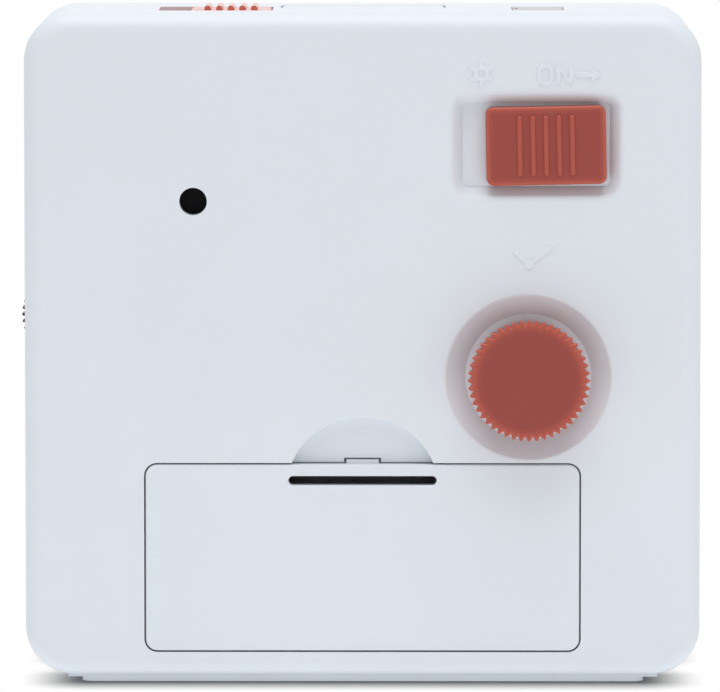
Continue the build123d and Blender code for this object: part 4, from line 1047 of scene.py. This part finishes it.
@dataclass
class TopControls(SubAssembly):
    """Alarm slider, snooze bar and lamp window on the top, with what they work inside."""

    nodes: tuple[str, ...] = ("alarm_slider", "alarm_switch_body", "snooze_bar", "snooze_plunger",
                              "snooze_switch", "indicator_window", "indicator_led")
    slider_size: tuple[float, float] = (10.5, 10.1)
    slider_corner: float = 0.8
    slider_edge: float = 0.2
    flange_overhang: float = 0.4
    flange_thickness: float = 1.0
    flange_corner: float = 0.1
    flange_edge: float = 0.05
    nub_size: tuple[float, float] = (3.0, 3.0)
    nub_length: float = 2.6
    ribs: int = 5
    rib_pitch: float = 1.52
    rib_length: float = 8.0
    rib_height: float = 0.6
    rib_radius: float = 0.44
    rib_steps: int = 12
    dot_radius: float = 0.24
    dot_rise: float = 0.04
    dot_from_end: float = 1.5

    def rib(self) -> Skin:
        """Half-round rib along Y about the origin, with its foot a little under Z = 0.

        The section is an upright wall under a half circle of the rib's radius, from one foot over
        the crown to the other, and it is carried straight from one end of the rib to the other.

        Returns:
            Points and faces.
        """
        turn = np.linspace(0.0, math.pi, self.rib_steps)
        wall = self.rib_height - self.rib_radius
        across = np.concatenate([[self.rib_radius], self.rib_radius * np.cos(turn), [-self.rib_radius]])
        foot = [-self.slider_edge]
        up = np.concatenate([foot, wall + self.rib_radius * np.sin(turn), foot])
        ends = np.array([-self.rib_length / 2, self.rib_length / 2])
        along = np.broadcast_to(ends[:, None], (2, len(across)))
        return loft(np.stack([np.broadcast_to(across, along.shape), along,
                              np.broadcast_to(up, along.shape)], axis=-1))

    def upright(self, skin: Skin) -> Skin:
        """Turn a block whose back looks along +Y so that it looks up along +Z."""
        points, faces = skin
        return points[:, [0, 2, 1]] * np.array([1.0, -1.0, 1.0]), faces

    def slider(self) -> None:
        """Build the slider's block, flange, nub and half-round ribs as one piece."""
        low, high = node_box("alarm_slider")
        size = high - low
        x, y, _ = (low + high) / 2
        button_x = low[0] + self.flange_overhang + self.slider_size[0] / 2
        top = high[2] - self.rib_height
        foot = low[2] + self.nub_length
        block = rounded_block(*self.slider_size, self.slider_corner, foot, top, self.slider_edge)
        flange = rounded_block(size[0], size[1], self.flange_corner, foot, foot + self.flange_thickness,
                               self.flange_edge)
        nub = rounded_block(*self.nub_size, self.flange_corner, low[2], foot + self.flange_thickness / 2,
                            self.flange_edge)
        surface = Surface()
        surface.add(self.upright(block), (button_x, y, 0.0))
        surface.add(self.upright(flange), (x, y, 0.0))
        surface.add(self.upright(nub), (button_x, y, 0.0))
        for place in spaced(self.ribs, self.rib_pitch):
            surface.add(self.rib(), (button_x + place, y, top))
        # The slider takes the red lightened as painted light
        skin = surface.piece("alarm_slider_skin", "red_control", "alarm_button", SLIDER)
        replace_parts(skin, "alarm_slider")

    def lamp_dot(self) -> None:
        """Add a small red disc near the inner end of the lamp window, with a sloping rim."""
        low, high = node_box("indicator_window")
        outlines = np.stack([circle(self.dot_radius), circle(self.dot_radius - self.dot_rise)])
        disc = loft(stack_outlines(outlines, np.array([-self.dot_rise, self.dot_rise])))
        surface = Surface()
        surface.add(self.upright(disc), (high[0] - self.dot_from_end, (low[1] + high[1]) / 2, high[2]))
        surface.piece("indicator_dot", "lamp_red", "case", FINISHES["lamp_red"])

    def build(self) -> None:
        """Build the slider and the dot of the lamp."""
        self.slider()
        self.lamp_dot()


@dataclass
class BatteryBay(SubAssembly):
    """Battery door, cell and contacts."""

    nodes: tuple[str, ...] = ("battery_door", "battery_cell", "positive_contact", "negative_contact")


@dataclass
class DialSide(SubAssembly):
    """Lens, dial with its print, and the four hands."""

    nodes: tuple[str, ...] = ("lens", "dial_spacer", "dial", "hour_hand", "minute_hand", "second_hand",
                              "alarm_hand", "dial_led")
    ink: float = 0.02
    sink: float = 0.01
    numeral_radius: float = 28.0
    numeral_size: float = 7.0
    track_span: tuple[float, float] = (33.6, 35.4)
    minute_width: float = 0.25
    hour_width: float = 0.8
    minutes: int = 60
    hours: int = 12
    alarm_span: tuple[float, float] = (18.6, 19.8)
    alarm_strokes: int = 48
    alarm_width: float = 0.15
    ring_width: float = 0.2
    ring_points: int = 180
    hour_turn: float = math.radians(305.0)
    minute_turn: float = math.radians(60.0)
    hour_filling: tuple[float, float] = (6.5, 14.5)
    minute_filling: tuple[float, float] = (8.5, 23.0)
    filling_width: float = 0.7

    @property
    def middle(self) -> np.ndarray:
        """Middle of the dial in X and Z."""
        low, high = node_box("dial")
        return ((low + high) / 2)[[0, 2]]

    @staticmethod
    def heading(turn: float) -> np.ndarray:
        """Unit vector in X and Z of a clockwise turn from twelve, as seen from the front."""
        return np.array([math.sin(turn), math.cos(turn)])

    def print_stroke(self, surface: Surface, path: np.ndarray, width: float, face: float,
                     ring: bool = False) -> None:
        """Add a flat printed stroke on a face that looks to the front.

        Args:
            surface: Where the stroke goes.
            path: Middle line in X and Z.
            width: Width of the stroke.
            face: Plane of the face along Y.
            ring: True where the path is closed.
        """
        surface.add(ridge(path, width, self.ink, self.sink, self.sink, ring), (0.0, face, 0.0), Way.FRONT)

    def tracks(self, surface: Surface, face: float) -> None:
        """Add the minute track, the hour strokes and the ring of the alarm scale.

        Args:
            surface: Where the strokes go.
            face: Plane of the dial along Y.
        """
        middle = self.middle
        for minute in range(self.minutes):
            width = self.minute_width if minute * self.hours % self.minutes else self.hour_width
            way = self.heading(math.tau * minute / self.minutes)
            self.print_stroke(surface, middle + np.outer(self.track_span, way), width, face)
        for stroke in range(self.alarm_strokes):
            way = self.heading(math.tau * stroke / self.alarm_strokes)
            self.print_stroke(surface, middle + np.outer(self.alarm_span, way), self.alarm_width, face)
        ring = middle + circle(self.alarm_span[0], self.ring_points)
        self.print_stroke(surface, ring, self.ring_width, face, ring=True)

    def numeral(self, hour: int, face: float) -> Skin:
        """Upright printed number of an hour, as a mesh.

        The text's own plane is laid on the dial: its X stays, its Y becomes Z and its Z looks to
        the front.

        Args:
            hour: Hour from 1 to 12.
            face: Plane of the dial along Y.

        Returns:
            Points and faces in millimetres.
        """
        text = bpy.data.curves.new(f"numeral_{hour}", "FONT")
        text.body = str(hour)
        text.size = self.numeral_size
        text.align_x, text.align_y = "CENTER", "CENTER"
        text.extrude = self.ink
        holder = new_object(f"numeral_{hour}", text)
        flat = holder.evaluated_get(bpy.context.evaluated_depsgraph_get()).to_mesh()
        flat.calc_loop_triangles()
        points = np.empty(len(flat.vertices) * 3)
        corners = np.empty(len(flat.loop_triangles) * 3, dtype=np.int32)
        flat.vertices.foreach_get("co", points)
        flat.loop_triangles.foreach_get("vertices", corners)
        bpy.data.objects.remove(holder)
        bpy.data.curves.remove(text)
        local = points.reshape(-1, 3)
        x, z = self.middle + self.numeral_radius * self.heading(math.tau * hour / self.hours)
        placed = np.stack([local[:, 0] + x, face - local[:, 2], local[:, 1] + z], axis=1)
        return placed, [corners.reshape(-1, 3)]

    def filling(self, name: str, node: str, body: str, turn: float, span: tuple[float, float]) -> None:
        """Add the pale filling of a hand.

        Args:
            name: Name of the piece.
            node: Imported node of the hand.
            body: Body the hand moves with.
            turn: Clockwise turn of the hand from twelve, in radians.
            span: Distances from the axis at which the filling starts and ends.
        """
        surface = Surface()
        path = self.middle + np.outer(span, self.heading(turn))
        self.print_stroke(surface, path, self.filling_width, float(node_box(node)[0][1]))
        surface.piece(name, "dial_white", body, LUME)

    def build(self) -> None:
        """Print the dial and fill the hands."""
        face = float(node_box("dial")[0][1])
        surface = Surface()
        self.tracks(surface, face)
        for hour in range(1, self.hours + 1):
            surface.add(self.numeral(hour, face))
        surface.piece("dial_print", "hand_black", "case", INK)
        self.filling("hour_filling", "hour_hand", "hours", self.hour_turn, self.hour_filling)
        self.filling("minute_filling", "minute_hand", "minutes", self.minute_turn, self.minute_filling)


@dataclass
class Movement(SubAssembly):
    """Plates, gears and stepping motor of the clockwork."""

    nodes: tuple[str, ...] = ("front_plate", "rear_plate", "movement_screws", "seconds_arbor",
                              "third_wheel", "centre_wheel", "intermediate_wheel", "motor_rotor",
                              "motor_stator", "motor_coil", "cannon_pinion", "minute_wheel", "hour_wheel",
                              "setting_idler")


@dataclass
class Electronics(SubAssembly):
    """Circuit board with its parts, and the buzzer."""

    nodes: tuple[str, ...] = ("circuit_board", "clock_chip", "quartz_crystal", "board_screws", "buzzer")


# Table, lights and camera
@dataclass(frozen=True)
class Softbox:
    """Square area light: where it hangs and its side in metres, and its power in watts."""

    name: str
    place: Place
    side: float
    power: float

    def hang(self, aim: Place) -> None:
        """Add the light so that it faces a point.

        Args:
            aim: The point that it faces, in metres.
        """
        data = bpy.data.lights.new(self.name, "AREA")
        data.energy = self.power
        data.size = self.side
        lamp = new_object(self.name, data)
        lamp.location = self.place
        lamp.rotation_mode = "QUATERNION"
        lamp.rotation_quaternion = (Vector(aim) - Vector(self.place)).to_track_quat("-Z", "Y")


@dataclass
class Studio:
    """White table, soft lights and the camera behind the clock."""

    frame_width: int = 720
    sensor_width: float = 36.0
    pixels_per_mm: float = 7.695
    distance: float = 1000.0 * MM
    elevation: float = math.radians(5.2)
    yaw: float = math.radians(-0.3)
    aim: Place = (0.33 * MM, 16.0 * MM, 44.3 * MM)
    clip: tuple[float, float] = (0.01, 50.0)
    floor_half: float = 3.0
    world_colour: Colour = (1.0, 1.0, 1.0, 1.0)
    world_strength: float = 0.405
    floor_glow: float = 0.28
    shadow_half: tuple[float, float] = (36.0 * MM, 14.0 * MM)
    shadow_band: float = 6.0 * MM
    shadow_reach: float = 9.5 * MM
    # Painted shadow: darker table colour near the foot, under the mask of the contact shadow
    shadow_colour: Colour = (0.27, 0.27, 0.27, 1.0)
    floor_colour: Colour = (0.95, 0.95, 0.95, 1.0)
    lights: tuple[Softbox, ...] = (
        Softbox("top_softbox", place=(0.0, 0.2, 1.2), side=1.0, power=10.8),
        Softbox("front_softbox", place=(0.0, 1.5, 0.5), side=1.4, power=0.15),
        Softbox("side_softbox", place=(-1.2, 0.5, 0.5), side=0.6, power=0.7),
    )

    def camera(self) -> None:
        """Place the camera so that one millimetre of the back face spans its share of pixels."""
        data = bpy.data.cameras.new("back_camera")
        data.sensor_width = self.sensor_width
        data.lens = self.pixels_per_mm / MM * self.distance / self.frame_width * self.sensor_width
        data.clip_start, data.clip_end = self.clip
        camera = new_object("back_camera", data)
        away = Vector((math.sin(self.yaw) * math.cos(self.elevation),
                       math.cos(self.yaw) * math.cos(self.elevation), math.sin(self.elevation)))
        camera.location = Vector(self.aim) + away * self.distance
        camera.rotation_mode = "QUATERNION"
        camera.rotation_quaternion = (-away).to_track_quat("-Z", "Y")
        bpy.context.scene.camera = camera

    def seen_mask(self, maker: NodeTree) -> bpy.types.NodeSocket:
        """Mask that is 1 for rays from the camera, off gloss or through glass.

        Args:
            maker: Helper of the tree that takes the mask.

        Returns:
            The socket of the mask.
        """
        path = maker.add("ShaderNodeLightPath").outputs
        direct = maker.work("MAXIMUM", path["Is Camera Ray"], path["Is Glossy Ray"])
        return maker.work("MAXIMUM", direct, path["Is Transmission Ray"])

    def world(self) -> None:
        """White world: full white where it is seen, a softer level where it only lights."""
        world = bpy.data.worlds.new("white_room")
        bpy.context.scene.world = world
        world.use_nodes = True
        world.node_tree.nodes.clear()
        maker = NodeTree(world.node_tree)
        level = maker.add("ShaderNodeMapRange", {"Value": self.seen_mask(maker),
                                                 "To Min": self.world_strength, "To Max": 1.0})
        back = maker.add("ShaderNodeBackground", {"Color": self.world_colour,
                                                  "Strength": level.outputs[0]})
        maker.add("ShaderNodeOutputWorld", {"Surface": back.outputs[0]})

    def floor_material(self) -> bpy.types.Material:
        """Table white where seen, with a painted shadow round the clock's foot that still takes the real
        shading.

        Returns:
            The material of the table.
        """
        material = bpy.data.materials.new("white_table")
        material.use_nodes = True
        material.node_tree.nodes.clear()
        maker = NodeTree(material.node_tree)
        shadow = maker.group(ContactShadowGroup(), {
            "Half Width": self.shadow_half[0], "Half Depth": self.shadow_half[1],
            "Band": self.shadow_band, "Reach": self.shadow_reach})
        matt = maker.add("ShaderNodeBsdfDiffuse", {"Color": self.floor_colour})
        # Painted shadow near the foot: a darker diffuse, still lit and shaded by the scene, faded to white
        # by the mask
        shaded = maker.add("ShaderNodeBsdfDiffuse", {"Color": self.shadow_colour})
        white = maker.add("ShaderNodeEmission", {"Strength": 1.0})
        glow = maker.add("ShaderNodeEmission", {"Strength": self.floor_glow})
        seen = maker.add("ShaderNodeMixShader", {0: shadow["Open"], 1: shaded.outputs[0],
                                                 2: white.outputs[0]})
        unseen = maker.add("ShaderNodeAddShader", {0: matt.outputs[0], 1: glow.outputs[0]})
        mixed = maker.add("ShaderNodeMixShader", {0: self.seen_mask(maker), 1: unseen.outputs[0],
                                                  2: seen.outputs[0]})
        maker.add("ShaderNodeOutputMaterial", {"Surface": mixed.outputs[0]})
        return material

    def floor(self) -> None:
        """Lay the table top under the clock."""
        mesh = bpy.data.meshes.new("table_top")
        half = self.floor_half
        mesh.from_pydata([(-half, -half, 0), (half, -half, 0), (half, half, 0), (-half, half, 0)], [],
                         [(0, 1, 2, 3)])
        mesh.materials.append(self.floor_material())
        new_object("table_top", mesh)

    def make(self) -> None:
        """Build the whole studio."""
        self.camera()
        self.world()
        self.floor()
        for light in self.lights:
            light.hang(self.aim)
        bpy.context.scene.view_settings.view_transform = "Standard"


def main() -> None:
    """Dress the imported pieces, add the fine ones and set the studio."""
    logging.basicConfig(level=logging.INFO)
    groups = (Case(), BatteryBay(), TopControls(), AlarmWheel(), SetKnob(), LightSwitch(), DialSide(),
              Movement(), Electronics())
    for group in groups:
        group.make()
    Studio().make()


if __name__ == "__main__":
    main()
